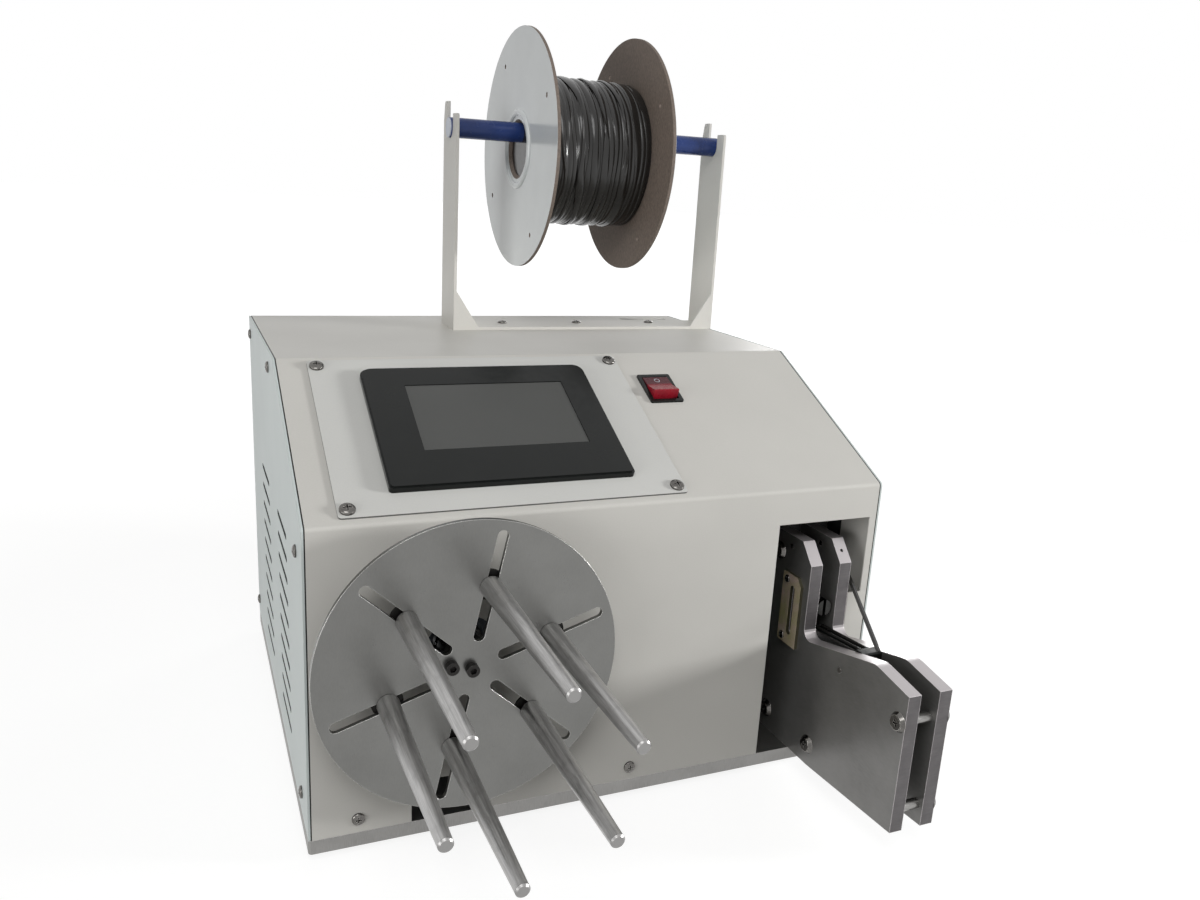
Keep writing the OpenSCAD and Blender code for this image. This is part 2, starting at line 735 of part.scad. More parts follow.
// One flange seen from outside, local Z outwards, with the raised ring round the bore and small holes
module spool_flange() difference() {
    union() {
        cylinder(d = spool_d, h = flange_t, $fn = 160);
        rotate_extrude($fn = 120) translate([rim_r - 3, flange_t]) polygon(concat(
            [[-3.2, -1]], [for (i = [0:8]) [-3.2 * cos(180 * i / 8), 2.2 * sin(180 * i / 8)]], [[3.2, -1]]
        ));
    }
    translate([0, 0, -1]) cylinder(d = spool_bore_d + 6, h = flange_t + 8);
    for (a = [60, 150, 240, 330]) rotate(a) translate([spool_d / 2 - 22, 0, -1])
        cylinder(d = 5, h = flange_t + 4);
}

module spool_flange_left() part("ivory")
    facing_right(spool_x + flange_t, shaft_y, spool_z) mirror([0, 0, 1]) spool_flange();

module spool_flange_right() part("ivory")
    facing_right(spool_x + spool_w - flange_t, shaft_y, spool_z) spool_flange();

// Hub tube between the flanges, its ends let into the flanges
module spool_hub() part("tan") facing_right(spool_x + 0.5, shaft_y, spool_z) difference() {
    union() {
        cylinder(d = spool_bore_d + 6 - 0.02, h = spool_w - 1);
        translate([0, 0, flange_t - 0.5]) cylinder(d = hub_d, h = spool_w - 2 * flange_t);
    }
    translate([0, 0, -1]) cylinder(d = spool_bore_d, h = spool_w + 2);
    translate([0, 0, -0.5]) cylinder(d1 = spool_bore_d + 5, d2 = spool_bore_d, h = 3);
    translate([0, 0, spool_w - 3.5]) cylinder(d1 = spool_bore_d, d2 = spool_bore_d + 5, h = 3);
}

module tie_winding() part([0.05, 0.05, 0.05])
    facing_right(spool_x + flange_t + 0.2, shaft_y, spool_z) difference() {
        cylinder(d = winding_d, h = spool_w - 2 * flange_t - 0.4, $fn = 120);
        translate([0, 0, -1]) cylinder(d = hub_d + 0.02, h = spool_w);
    }

module winding_disc() part("lightgray") facing_front(disc_x, -disc_gap, spindle_z) difference() {
    cylinder(r = disc_r, h = disc_t, $fn = 180);
    for (i = [0:finger_count - 1]) rotate(slot_turn + i * 360 / finger_count) translate([0, 0, -1])
        round_bar(slot_in + slot_w / 2, slot_out - slot_w / 2, slot_w, disc_t + 2);
    for (p = disc_bolt_at) translate([p[0], p[1], -1]) drill(disc_bolt_d, disc_t + 2);
}

module disc_screws() part([0.12, 0.12, 0.12]) facing_front(disc_x, -disc_gap - disc_t, spindle_z) {
    socket_screw_at(disc_bolt_at[0], disc_t + 12);
    socket_screw_at(disc_bolt_at[1], disc_t + hub_t - 1);
}

module socket_screw_at(p, len) translate([p[0], p[1], 0]) socket_screw(disc_bolt_d, len);

// Flange behind the disc, with a sleeve up to the housing and a nose against the front bearing
module disc_hub() part("gray") facing_back(disc_x, -disc_gap, spindle_z) difference() {
    union() {
        cylinder(r = hub_r, h = hub_t);
        cylinder(r = sleeve_r, h = disc_gap + housing_y - 1);
        cylinder(r = nose_r, h = disc_gap + bearing_at[0]);
    }
    translate([0, 0, 2]) cylinder(d = spindle_d + 0.04, h = disc_gap + bearing_at[0]);
    translate([0, 0, -1]) drill(disc_bolt_d, 4);
    translate([disc_bolt_at[1][0], -disc_bolt_at[1][1], -1]) drill(disc_bolt_d, hub_t);
}

module spindle() part("silver") facing_back(disc_x, -disc_gap + 2, spindle_z) difference() {
    cylinder(d = spindle_d, h = spindle_end_y + disc_gap - 2);
    translate([0, 0, -1]) drill(disc_bolt_d, 14);
}

// Washer or nut of height h on the plane z = 0, round the finger's stud; sides is 6 for a nut
module stud_ring(r, h, stud_d, sides) difference() {
    cylinder(r = r, h = h, $fn = sides);
    translate([0, 0, -1]) cylinder(d = stud_d + 0.04, h = h + 2);
}

// A finger: stud through the slot, tapered bar with a chamfered tip, washer and nut behind the disc
module finger(i) part("silver") facing_front(disc_x, -disc_gap - disc_t, spindle_z)
    rotate(slot_turn + (i - 1) * 360 / finger_count) translate([finger_at, 0, 0]) {
        stud_d = slot_w - 2 * slide_gap;
        stud_back = disc_t + washer_t + nut_t + 3.5;
        bar_len = finger_len - tip_chamfer;
        translate([0, 0, slide_gap]) cylinder(d1 = finger_d, d2 = finger_tip_d, h = bar_len - slide_gap);
        translate([0, 0, bar_len])
            cylinder(d1 = finger_tip_d, d2 = finger_tip_d - 2 * tip_chamfer, h = tip_chamfer);
        translate([0, 0, -stud_back]) cylinder(d = stud_d, h = stud_back + slide_gap + e);
        translate([0, 0, -disc_t - slide_gap - washer_t]) stud_ring(washer_r, washer_t, stud_d, $fn);
        translate([0, 0, -disc_t - slide_gap - washer_t - nut_t]) stud_ring(nut_r, nut_t, stud_d, 6);
    }

module finger_1() finger(1);
module finger_2() finger(2);
module finger_3() finger(3);
module finger_4() finger(4);
module finger_5() finger(5);
module finger_6() finger(6);

// Bearing housing with a round flange, bolted to its stand
module spindle_housing() part("slategray") facing_back(disc_x, housing_y, spindle_z) {
    difference() {
        union() {
            cylinder(r = 31, h = housing_len);
            translate([0, 0, housing_len - 10]) cylinder(r = 46, h = 10);
        }
        translate([0, 0, -1]) cylinder(r = bearing_r - 4, h = housing_len + 2);
        translate([0, 0, -1]) cylinder(r = bearing_r + 0.01, h = bearing_w + 3);
        translate([0, 0, housing_len - bearing_w - 2]) cylinder(r = bearing_r + 0.01, h = bearing_w + 3);
        housing_bolt_holes();
    }
    for (a = [45:90:359]) rotate(a) translate([housing_bolt_r, 0, housing_len - 10]) mirror([0, 0, 1])
        socket_screw(housing_bolt_d, 10 + stand_t);
}

module housing_bolt_holes()
    for (a = [45:90:359]) rotate(a) translate([housing_bolt_r, 0, housing_len - 20])
        drill(housing_bolt_d, 50);

// Outer rings of the two spindle bearings, with their balls
module spindle_bearings() part("silver")
    for (y = bearing_at) facing_back(disc_x, y, spindle_z) {
        difference() {
            cylinder(r = bearing_r, h = bearing_w);
            translate([0, 0, -1]) cylinder(r = ball_ring_r + 1.8, h = bearing_w + 2);
            translate([0, 0, bearing_w / 2]) rotate_extrude() translate([ball_ring_r, 0]) circle(r = ball_r);
        }
        for (a = [0:45:359]) rotate(a) translate([ball_ring_r, 0, bearing_w / 2])
            sphere(r = ball_r - 0.01, $fn = 24);
    }

module bearing_inner_rings() part("silver")
    for (y = bearing_at) facing_back(disc_x, y, spindle_z) difference() {
        cylinder(r = ball_ring_r - 1.8, h = bearing_w);
        translate([0, 0, -1]) cylinder(r = spindle_d / 2 + 0.01, h = bearing_w + 2);
        translate([0, 0, bearing_w / 2]) rotate_extrude() translate([ball_ring_r, 0])
            circle(r = ball_r + run_gap);
    }

// Upright plate with a foot along the base plate, held by two screws
module stand(x, y, w, h, hole_r, foot) {
    difference() {
        translate([x - w / 2, y, base_z]) union() {
            cube([w, stand_t, h]);
            cube([w, foot, stand_t]);
        }
        facing_back(x, y - 1, spindle_z) cylinder(r = hole_r, h = stand_t + 2);
        for (p = foot_bolts) translate([p[0], p[1], base_z - 1]) drill(foot_bolt_d, stand_t + 2);
        children();
    }
    for (p = foot_bolts) if (abs(p[0] - x) < w / 2) translate([p[0], p[1], base_z + stand_t])
        socket_screw(foot_bolt_d, stand_t + 8);
}

module spindle_stand() part("darkgray")
    stand(disc_x, stand_y, stand_w, disc_z + stand_w / 2, bearing_r - 4, stand_foot)
        facing_back(disc_x, housing_y, spindle_z) housing_bolt_holes();

module motor_stand() part("darkgray")
    stand(motor_x, motor_stand_y, stand_w, disc_z + stand_w / 2, motor_size / 4, stand_foot)
        for (x = [-1, 1], z = [-1, 1])
            facing_back(motor_x + x * motor_bolt, motor_stand_y - 1, spindle_z + z * motor_bolt)
                drill(motor_bolt_d, stand_t + 2);

// Pulley with two rims, belt width w and belt radius r, on a bore
module pulley(r, w, bore_r) difference() {
    union() {
        cylinder(r = r, h = w + 2, $fn = 96);
        for (z = [-1.5, w + 2]) translate([0, 0, z]) cylinder(r = r + 3, h = 1.5, $fn = 96);
        translate([0, 0, -1.5]) cylinder(r = bore_r + 5, h = w + 7);
    }
    translate([0, 0, -3]) cylinder(r = bore_r, h = w + 12);
}

module driven_pulley() part("darkgray")
    facing_back(disc_x, pulley_y - 1, spindle_z) pulley(driven_r, belt_w, spindle_d / 2 + 0.01);

// Motor pulley, with the shaft that it turns on
module drive_pulley() part("darkgray") facing_back(motor_x, pulley_y - 1, spindle_z) {
    pulley(drive_r, belt_w, motor_shaft_d / 2 + 0.01);
    translate([0, 0, -2]) cylinder(d = motor_shaft_d, h = motor_stand_y + stand_t - pulley_y + 22);
}

// Outline of the belt's run at distance g from the faces of both pulleys
function belt_outline(g) =
    let (a = acos((driven_r - drive_r) / belt_centres))
    concat(arc([0, 0], driven_r + g, a, 360 - a, 48), arc([belt_centres, 0], drive_r + g, -a, a, 24));

module drive_belt() part([0.1, 0.1, 0.1])
    facing_back(disc_x, pulley_y, spindle_z) linear_extrude(belt_w) difference() {
        polygon(belt_outline(slide_gap + belt_t));
        polygon(belt_outline(slide_gap));
    }

// Motor with a square front flange, a round case and a terminal box, held by four screws
module winding_motor() part([0.2, 0.2, 0.22]) facing_back(motor_x, motor_stand_y + stand_t, spindle_z) {
    case_r = motor_size / 2 - 3;
    flange = 12;
    difference() {
        union() {
            translate([-motor_size / 2, -motor_size / 2, 0]) rounded_box(motor_size, motor_size, flange, 6);
            translate([0, 0, flange - 1]) cylinder(r = case_r, h = motor_len - 20, $fn = 96);
            translate([0, 0, motor_len - 10]) cylinder(r1 = case_r, r2 = case_r - 7, h = 10, $fn = 96);
            translate([-18, -motor_size / 2 - 12, 56]) cube([36, 24, 34]);
        }
        translate([0, 0, -1]) cylinder(r = motor_shaft_d / 2 + run_gap, h = 24);
        for (x = [-1, 1], y = [-1, 1]) translate([x * motor_bolt, y * motor_bolt, -1])
            drill(motor_bolt_d, flange + 2);
    }
    for (x = [-1, 1], y = [-1, 1]) translate([x * motor_bolt, y * motor_bolt, flange])
        socket_screw(motor_bolt_d, flange + stand_t);
}

// Side outline of a tie plate: upright arm, floor of the coil notch, hump and nose
function tie_outline() = rounded([
    [tie_back_y, 0, 0], [tie_back_y, arm_h, 0], [arm_y + arm_chamfer[0], arm_h, 0],
    [arm_y, arm_h - arm_chamfer[1], 0], [arm_y, foot_floor_h, 9], [hump_y, hump_h, 24],
    [-tie_reach, tie_nose_h, 0], [-tie_reach, nose_low_h, 0], [-30, 0, 0]
]);

// One tie plate with its left face at x, and the holes for its posts and pins
module tie_plate(x, posts) difference() {
    along_x(x, tie_t) translate([0, base_z]) polygon(tie_outline());
    for (p = posts) facing_right(x - 1, p[0], base_z + p[1]) drill(post_screw_d, tie_t + 2);
    for (p = pin_at) facing_right(x - 1, p[0], base_z + p[1]) drill(pin_d, tie_t + 2);
    tie_back_holes();
    tie_foot_holes();
}

module tie_plate_left() part("silver") difference() {
    tie_plate(tie_x, cup_at);
    translate([tie_x - 1, slot_at[0], base_z + slot_at[1]]) rotate([90, 0, 90]) rotate(90)
        round_bar(-20, 20, 5.5, tie_t + 2);
    for (q = slotted_screw_at) facing_right(tie_x - 1, q[0], base_z + q[1])
        drill(slotted_screw_d, 9);
}

module tie_plate_right() part("silver") difference() {
    tie_plate(tie_x2, post_at);
    translate([tie_x2 + tie_t / 2, arm_y + arm_chamfer[0] / 2, base_z + arm_h - arm_chamfer[1] / 2])
        rotate([atan2(arm_chamfer[1], arm_chamfer[0]), 0, 0]) translate([0, 0, -5]) drill(3, 10);
}

// Screw holes from the back plate into the rear ends of the tie plates
module tie_back_holes()
    for (p = tie_back_bolts) facing_back(p[0], tie_back_y - tie_bolt_in - 2, p[1])
        drill(tie_bolt_d, 40);

// Screw holes from below, through the base plate into the tie plates
module tie_foot_holes()
    for (p = tie_foot_bolts) translate([p[0], p[1], foot_h - 1]) drill(tie_bolt_d, base_t + 13);

// Posts between the tie plates, and the block that carries the twist shaft's front end
module tie_spacers() part("silver") {
    for (p = post_at) facing_right(tie_x + tie_t, p[0], base_z + p[1]) difference() {
        cylinder(d = post_d, h = tie_gap);
        translate([0, 0, -1]) drill(post_screw_d, 9);
        translate([0, 0, tie_gap - 8]) drill(post_screw_d, 9);
    }
    difference() {
        translate([tie_x + tie_t + 0.1, rotor_block_y, rotor_z - 13]) cube([tie_gap - 0.2, 12, 26]);
        facing_back(tie_mid_x, rotor_block_y - 1, rotor_z) cylinder(d = rotor_d + 2 * run_gap, h = 14);
    }
}

module tie_unit_screws() part("silver") {
    for (p = cup_at) translate([tie_x, p[0], base_z + p[1]]) rotate([0, -90, 0]) cup_screw(tie_t + 6);
    for (p = post_at) facing_right(tie_x2 + tie_t, p[0], base_z + p[1]) cup_screw(tie_t + 6);
    for (x = [tie_x - 0.4, tie_x2], p = pin_at) facing_right(x, p[0], base_z + p[1])
        cylinder(d = pin_d, h = tie_t + 0.4);
    for (q = slotted_screw_at) translate([tie_x - slotted_t, q[0], base_z + q[1]]) rotate([0, -90, 0])
        pan_screw(slotted_screw_d, slotted_t + 6);
    for (p = tie_back_bolts) facing_back(p[0], tie_back_y + back_plate_t, p[1])
        socket_screw(tie_bolt_d, back_plate_t + tie_bolt_in);
    for (p = tie_foot_bolts) translate([p[0], p[1], foot_h + tie_head_in]) mirror([0, 0, 1])
        socket_screw(tie_bolt_d, base_t - tie_head_in + 9.5);
}

// Small slotted plate that sets the length of the tie
module slotted_plate() part("darkkhaki") difference() {
    along_x(tie_x - slotted_t, slotted_t) translate([slotted_y, base_z + slotted_z]) polygon(rounded([
        [0, 0, 0], [slotted_size[0], 0, 2], [slotted_size[0], slotted_size[1], 2], [6, slotted_size[1], 0],
        [0, slotted_size[1] - 7, 0]
    ]));
    translate([tie_x - slotted_t - 1, slot_at[0], base_z + slot_at[1]]) rotate([90, 0, 90]) rotate(90)
        round_bar(-20.5, 20.5, 6.5, slotted_t + 2);
    for (q = slotted_screw_at) facing_right(tie_x - slotted_t - 1, q[0], base_z + q[1])
        drill(slotted_screw_d, slotted_t + 2);
}

// Height of the guide's top at depth y, a straight line from the arms down to its tip
function guide_z(y) =
    let (rise = foot_floor_h + 5 - guide_tip[1])
    guide_tip[1] + rise * (y - guide_tip[0]) / (guide_back_y - guide_tip[0]);

// Black guide along the notch between the plates: two grooves in its top, and a block at its tip
// that the tie ends on
module tie_guide() part([0.06, 0.06, 0.06]) difference() {
    block_y = guide_tip[0] + guide_block[0];
    along_x(tie_x + tie_t + 0.1, tie_gap - 0.2) translate([0, base_z]) polygon(rounded([
        [guide_back_y, guide_z(guide_back_y) - 16, 0], [guide_back_y, guide_z(guide_back_y), 2],
        [block_y + guide_block[1], guide_z(block_y + guide_block[1]), 0],
        [block_y, guide_tip[1] + guide_block[1], 1],
        [guide_tip[0], guide_tip[1] + guide_block[1], 2], [guide_tip[0], guide_tip[1] - 16, 3]
    ]));
    for (x = [-6.2, 1.8]) along_x(tie_mid_x + x, 4.4) translate([0, base_z]) polygon([
        [20, guide_z(20) - 1.5], [20, guide_z(20) + 30],
        [block_y + 4, guide_z(block_y + 4) + 30], [block_y + 4, guide_z(block_y + 4) - 1.5]
    ]);
}

// Strip of width w and thickness t along a path, its width level where the path runs straight back
module ribbon(path, w, t) {
    n = len(path);
    points = [
        for (i = [0:n - 1])
            let (
                d = unit(path[min(i + 1, n - 1)] - path[max(i - 1, 0)]),
                side = unit([1, 0, 0] - d[0] * d) * w / 2,
                up = unit(cross(d, side)) * t / 2
            )
            each [path[i] - side - up, path[i] + side - up, path[i] + side + up, path[i] - side + up]
    ];
    walls = [
        for (i = [0:n - 2], k = [0:3])
            let (a = 4 * i + k, b = 4 * i + (k + 1) % 4)
            each [[b, a, a + 4], [b, a + 4, b + 4]]
    ];
    last = 4 * n - 1;
    polyhedron(points, concat([[0, 1, 2, 3], [last, last - 1, last - 2, last - 3]], walls));
}

// The tie itself, fed from the rollers past the right arm and across the notch to the guide's tip
module tie_band() part([0.1, 0.1, 0.1]) ribbon(band_path, band_w, band_t);

module tie_back_plate() part("silver") difference() {
    translate([tie_x, tie_back_y, base_z]) cube([feed_x + cheek_in + cheek_t - tie_x, back_plate_t, arm_h]);
    facing_back(tie_mid_x, tie_back_y - 1, rotor_z) cylinder(d = rotor_d + 2 * run_gap, h = back_plate_t + 2);
    translate([feed_x - band_window[0] / 2, tie_back_y - 1, band_window_z - band_window[1] / 2])
        cube([band_window[0], back_plate_t + 2, band_window[1]]);
    tie_back_holes();
}

// Shaft with the slotted hook that twists the ends of the tie
module twist_rotor() part("silver") facing_back(tie_mid_x, rotor_y, rotor_z) {
    difference() {
        cylinder(r = 7.5, h = 12);
        translate([-1.5, -10, -1]) cube([3, 20, 8]);
        translate([2, -10, 3]) cube([10, 9, 4]);
    }
    translate([0, 0, 11]) cylinder(d = rotor_d, h = tie_back_y + back_plate_t + 16 - rotor_y - 11);
}

module twist_motor() part([0.2, 0.2, 0.22])
    facing_back(tie_mid_x, tie_back_y + back_plate_t, rotor_z) difference() {
        union() {
            cylinder(r = 18, h = 26);
            translate([0, 0, 26]) cylinder(r = 16, h = 38);
            translate([0, 0, 64]) cylinder(r = 6, h = 4);
        }
        translate([0, 0, -1]) cylinder(d = rotor_d + 2 * run_gap, h = 19);
    }

// Driven feed roller on a long shaft that reaches into its motor
module feed_roller() part("gray") facing_right(feed_x, feed_y, feed_z) {
    across = 2 * (cheek_in + cheek_t);
    cylinder(r = feed_r, h = 2 * (cheek_in - 1), center = true);
    translate([0, 0, -across / 2 - feed_shaft_in]) cylinder(d = feed_shaft_d, h = across + feed_shaft_in);
}

module pinch_roller() part("gray") facing_right(feed_x, feed_y, pinch_z) {
    cylinder(r = pinch_r, h = 2 * (cheek_in - 1), center = true);
    cylinder(d = pinch_shaft_d, h = 2 * (cheek_in + cheek_t), center = true);
}

// Two cheeks behind the tie unit that carry the rollers, and the bar across them
module feed_frame() part("silver") difference() {
    union() {
        for (x = [-cheek_in - cheek_t, cheek_in]) translate([feed_x + x, tie_back_y + back_plate_t, cheek_z])
            cube([cheek_t, cheek_d, pinch_z + pinch_r + 4 - cheek_z]);
        translate([feed_x - cheek_in - 1, tie_back_y + back_plate_t + cheek_d - 8, cheek_z])
            cube([2 * cheek_in + 2, 8, 10]);
    }
    facing_right(feed_x, feed_y, feed_z) cylinder(d = feed_shaft_d + 2 * run_gap, h = 60, center = true);
    facing_right(feed_x, feed_y, pinch_z) cylinder(d = pinch_shaft_d + 2 * run_gap, h = 60, center = true);
}

module feed_motor() part([0.2, 0.2, 0.22])
    translate([feed_x - cheek_in - cheek_t, feed_y, feed_z]) rotate([0, -90, 0]) difference() {
        union() {
            translate([-15, -17, 0]) cube([32, 34, 4]);
            cylinder(r = 15, h = 22);
            translate([0, 0, 22]) cylinder(r = 13, h = 34);
        }
        translate([0, 0, -1]) cylinder(d = feed_shaft_d + 2 * run_gap, h = feed_shaft_in + 3);
    }

// Mains supply in a slotted sheet case, with its terminal strip at the back
module power_supply() part("silver") translate([supply_at[0], supply_at[1], base_z]) difference() {
    w = supply_size[0];
    l = supply_size[1];
    h = supply_size[2];
    union() {
        cube(supply_size);
        translate([6, l - 1, 4]) cube([w - 12, 16, 14]);
        for (i = [0:7]) translate([9 + i * 12, l, 17]) cube([8, 12, 5]);
    }
    for (i = [0:9]) translate([14, 20 + i * 14, h - 3]) cube([w - 28, 5, 4]);
}

// Control board on four posts, with its relays, driver and terminal strips
module control_board() part("darkgreen") translate([board_at[0], board_at[1], base_z]) {
    for (x = [6, board_size[0] - 6], y = [6, board_size[1] - 6]) translate([x, y, 0])
        cylinder(r = 3, h = board_post_h);
    translate([0, 0, board_post_h]) union() {
        cube(board_size);
        for (i = [0:4]) translate([18 + i * 22, 112, 1]) cube([15, 19, 16]);
        translate([20, 30, 1]) cube([48, 40, 9]);
        for (i = [0:6]) translate([22 + i * 6.5, 31, 9]) cube([2.5, 38, 16]);
        translate([88, 34, 1]) cube([30, 30, 4]);
        translate([10, 137, 1]) cube([120, 10, 12]);
        for (i = [0:2]) translate([90 + i * 14, 84, 1]) cylinder(r = 5, h = 18);
    }
}

// Mains inlet with a flush flange, three blades and two countersunk screws
module power_inlet() part([0.08, 0.08, 0.08]) facing_back(inlet_x, body_d, socket_z) {
    w = inlet_size[0] - 1;
    h = inlet_size[1] - 1;
    difference() {
        union() {
            translate([-inlet_screw - 5, -12, 0]) rounded_box(2 * inlet_screw + 10, 24, inlet_flange_t, 4);
            translate([-w / 2, -h / 2, -26]) cube([w, h, 27]);
        }
        translate([-w / 2 + 1.5, -h / 2 + 1.5, -16]) cube([w - 3, h - 3, 30]);
        for (s = [-1, 1]) translate([s * inlet_screw, 0, -1]) cylinder(r = 2.9, h = 10);
    }
    for (x = [-7, 0, 7]) translate([x - 1, x == 0 ? -3.5 : -0.5, -17]) cube([2, 4, 14]);
    for (s = [-1, 1]) translate([s * inlet_screw, 0, 0]) {
        translate([0, 0, 0.2]) cylinder(r = 2.8, h = inlet_flange_t - 0.4);
        translate([0, 0, -8]) cylinder(r = 1.5, h = 9);
    }
}

// Round socket for the foot switch, with its ring nut outside
module pedal_socket() part("silver") facing_back(socket_x, body_d, socket_z) {
    difference() {
        union() {
            translate([0, 0, -18]) cylinder(d = socket_d, h = 18 + inlet_flange_t - 0.5);
            translate([0, 0, -sheet_t - 3]) cylinder(d = socket_d + 6, h = 3);
        }
        translate([0, 0, -10]) cylinder(d = socket_d - 4, h = 20);
    }
    difference() {
        cylinder(d = socket_d + 6, h = inlet_flange_t - 0.8, $fn = 6);
        translate([0, 0, -1]) cylinder(d = socket_d + 0.04, h = 10);
    }
}

base_plate();
rubber_feet();
front_cover();
left_side_panel();
right_side_panel();
rear_panel();
cover_screws();
side_panel_screws();
hmi_plate();
hmi_plate_screws();
hmi_bezel();
hmi_screen();
hmi_case();
rocker_frame();
rocker_button();
spool_bracket();
bracket_screws();
spool_shaft();
shaft_end_caps();
spool_flange_left();
spool_flange_right();
spool_hub();
tie_winding();
winding_disc();
disc_screws();
disc_hub();
spindle();
finger_1();
finger_2();
finger_3();
finger_4();
finger_5();
finger_6();
spindle_housing();
spindle_bearings();
bearing_inner_rings();
spindle_stand();
driven_pulley();
drive_pulley();
drive_belt();
winding_motor();
motor_stand();
tie_plate_left();
tie_plate_right();
tie_spacers();
tie_unit_screws();
slotted_plate();
tie_guide();
tie_band();
tie_back_plate();
twist_rotor();
twist_motor();
feed_roller();
pinch_roller();
feed_frame();
feed_motor();
power_supply();
control_board();
power_inlet();
pedal_socket();
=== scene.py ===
"""Looks of a bench cable coiling machine: the finish of every piece, its fine pieces, and the studio."""

import json
import logging
import math
from dataclasses import dataclass
from enum import Enum

import bmesh
import bpy
from mathutils import Matrix, Vector, noise
from mathutils.bvhtree import BVHTree


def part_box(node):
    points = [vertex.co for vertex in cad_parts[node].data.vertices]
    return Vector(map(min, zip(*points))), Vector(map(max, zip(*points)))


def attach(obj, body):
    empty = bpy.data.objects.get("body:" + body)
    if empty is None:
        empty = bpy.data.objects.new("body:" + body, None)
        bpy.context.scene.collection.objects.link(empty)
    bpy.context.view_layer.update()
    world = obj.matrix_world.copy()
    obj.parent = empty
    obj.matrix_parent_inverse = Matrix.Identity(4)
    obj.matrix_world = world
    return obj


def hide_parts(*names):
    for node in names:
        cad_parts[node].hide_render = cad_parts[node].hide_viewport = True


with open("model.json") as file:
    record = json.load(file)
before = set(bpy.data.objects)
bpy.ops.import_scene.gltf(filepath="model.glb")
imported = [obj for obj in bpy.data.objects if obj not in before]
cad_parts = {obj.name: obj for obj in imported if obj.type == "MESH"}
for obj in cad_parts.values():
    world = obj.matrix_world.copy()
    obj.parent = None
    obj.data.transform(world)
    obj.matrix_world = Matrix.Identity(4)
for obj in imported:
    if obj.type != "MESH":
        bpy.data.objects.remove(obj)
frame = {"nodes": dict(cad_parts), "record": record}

LOG = logging.getLogger("coiling_machine")
MM = 0.001
SMOOTH_BELOW = math.radians(38)
WHITE = (1, 1, 1, 1)
# Ranges of a noise's values that are spread over a whole change of colour or gloss.
BROAD = (0.3, 0.7)
MEDIUM = (0.32, 0.68)
STEEP = (0.35, 0.65)
NARROW = (0.4, 0.6)
WHOLE = (0.0, 1.0)
WHOLE_DOWN = (1.0, 0.0)


class Slot(Enum):
    """The record's material slots."""

    BASE_STEEL = "base_steel"
    BLACK_RUBBER = "black_rubber"
    GREY_PAINT = "grey_paint"
    WHITE_PAINT = "white_paint"
    ZINC_STEEL = "zinc_steel"
    PLATE_PAINT = "plate_paint"
    BLACK_MOULDING = "black_moulding"
    SCREEN_GLASS = "screen_glass"
    RED_MOULDING = "red_moulding"
    BLUE_SLEEVE = "blue_sleeve"
    WHITE_MOULDING = "white_moulding"
    SPOOL_BOARD = "spool_board"
    BLACK_TIE = "black_tie"
    DISC_STEEL = "disc_steel"
    BLACK_STEEL = "black_steel"
    TURNED_STEEL = "turned_steel"
    CAST_HOUSING = "cast_housing"
    BEARING_STEEL = "bearing_steel"
    MILLED_ALUMINIUM = "milled_aluminium"
    MOTOR_PAINT = "motor_paint"
    TIE_STEEL = "tie_steel"
    YELLOW_ZINC = "yellow_zinc"
    FINGER_STEEL = "finger_steel"
    ZINC_SHEET = "zinc_sheet"
    BOARD_GREEN = "board_green"


@dataclass(frozen=True)
class Colour:
    """A colour given in the screen's own values, 0 to 255."""

    red: int
    green: int
    blue: int

    def linear(self, factor: float = 1.0) -> tuple[float, float, float, float]:
        """The colour as a shader wants it.

        Args:
            factor: makes the same hue lighter or darker.

        Returns:
            Red, green and blue from 0 to 1, and a full alpha.
        """
        parts = []
        for value in (self.red, self.green, self.blue):
            share = max(0, min(255, round(value * factor))) / 255
            parts.append(share / 12.92 if share <= 0.04045 else ((share + 0.055) / 1.055) ** 2.4)
        return (*parts, 1.0)


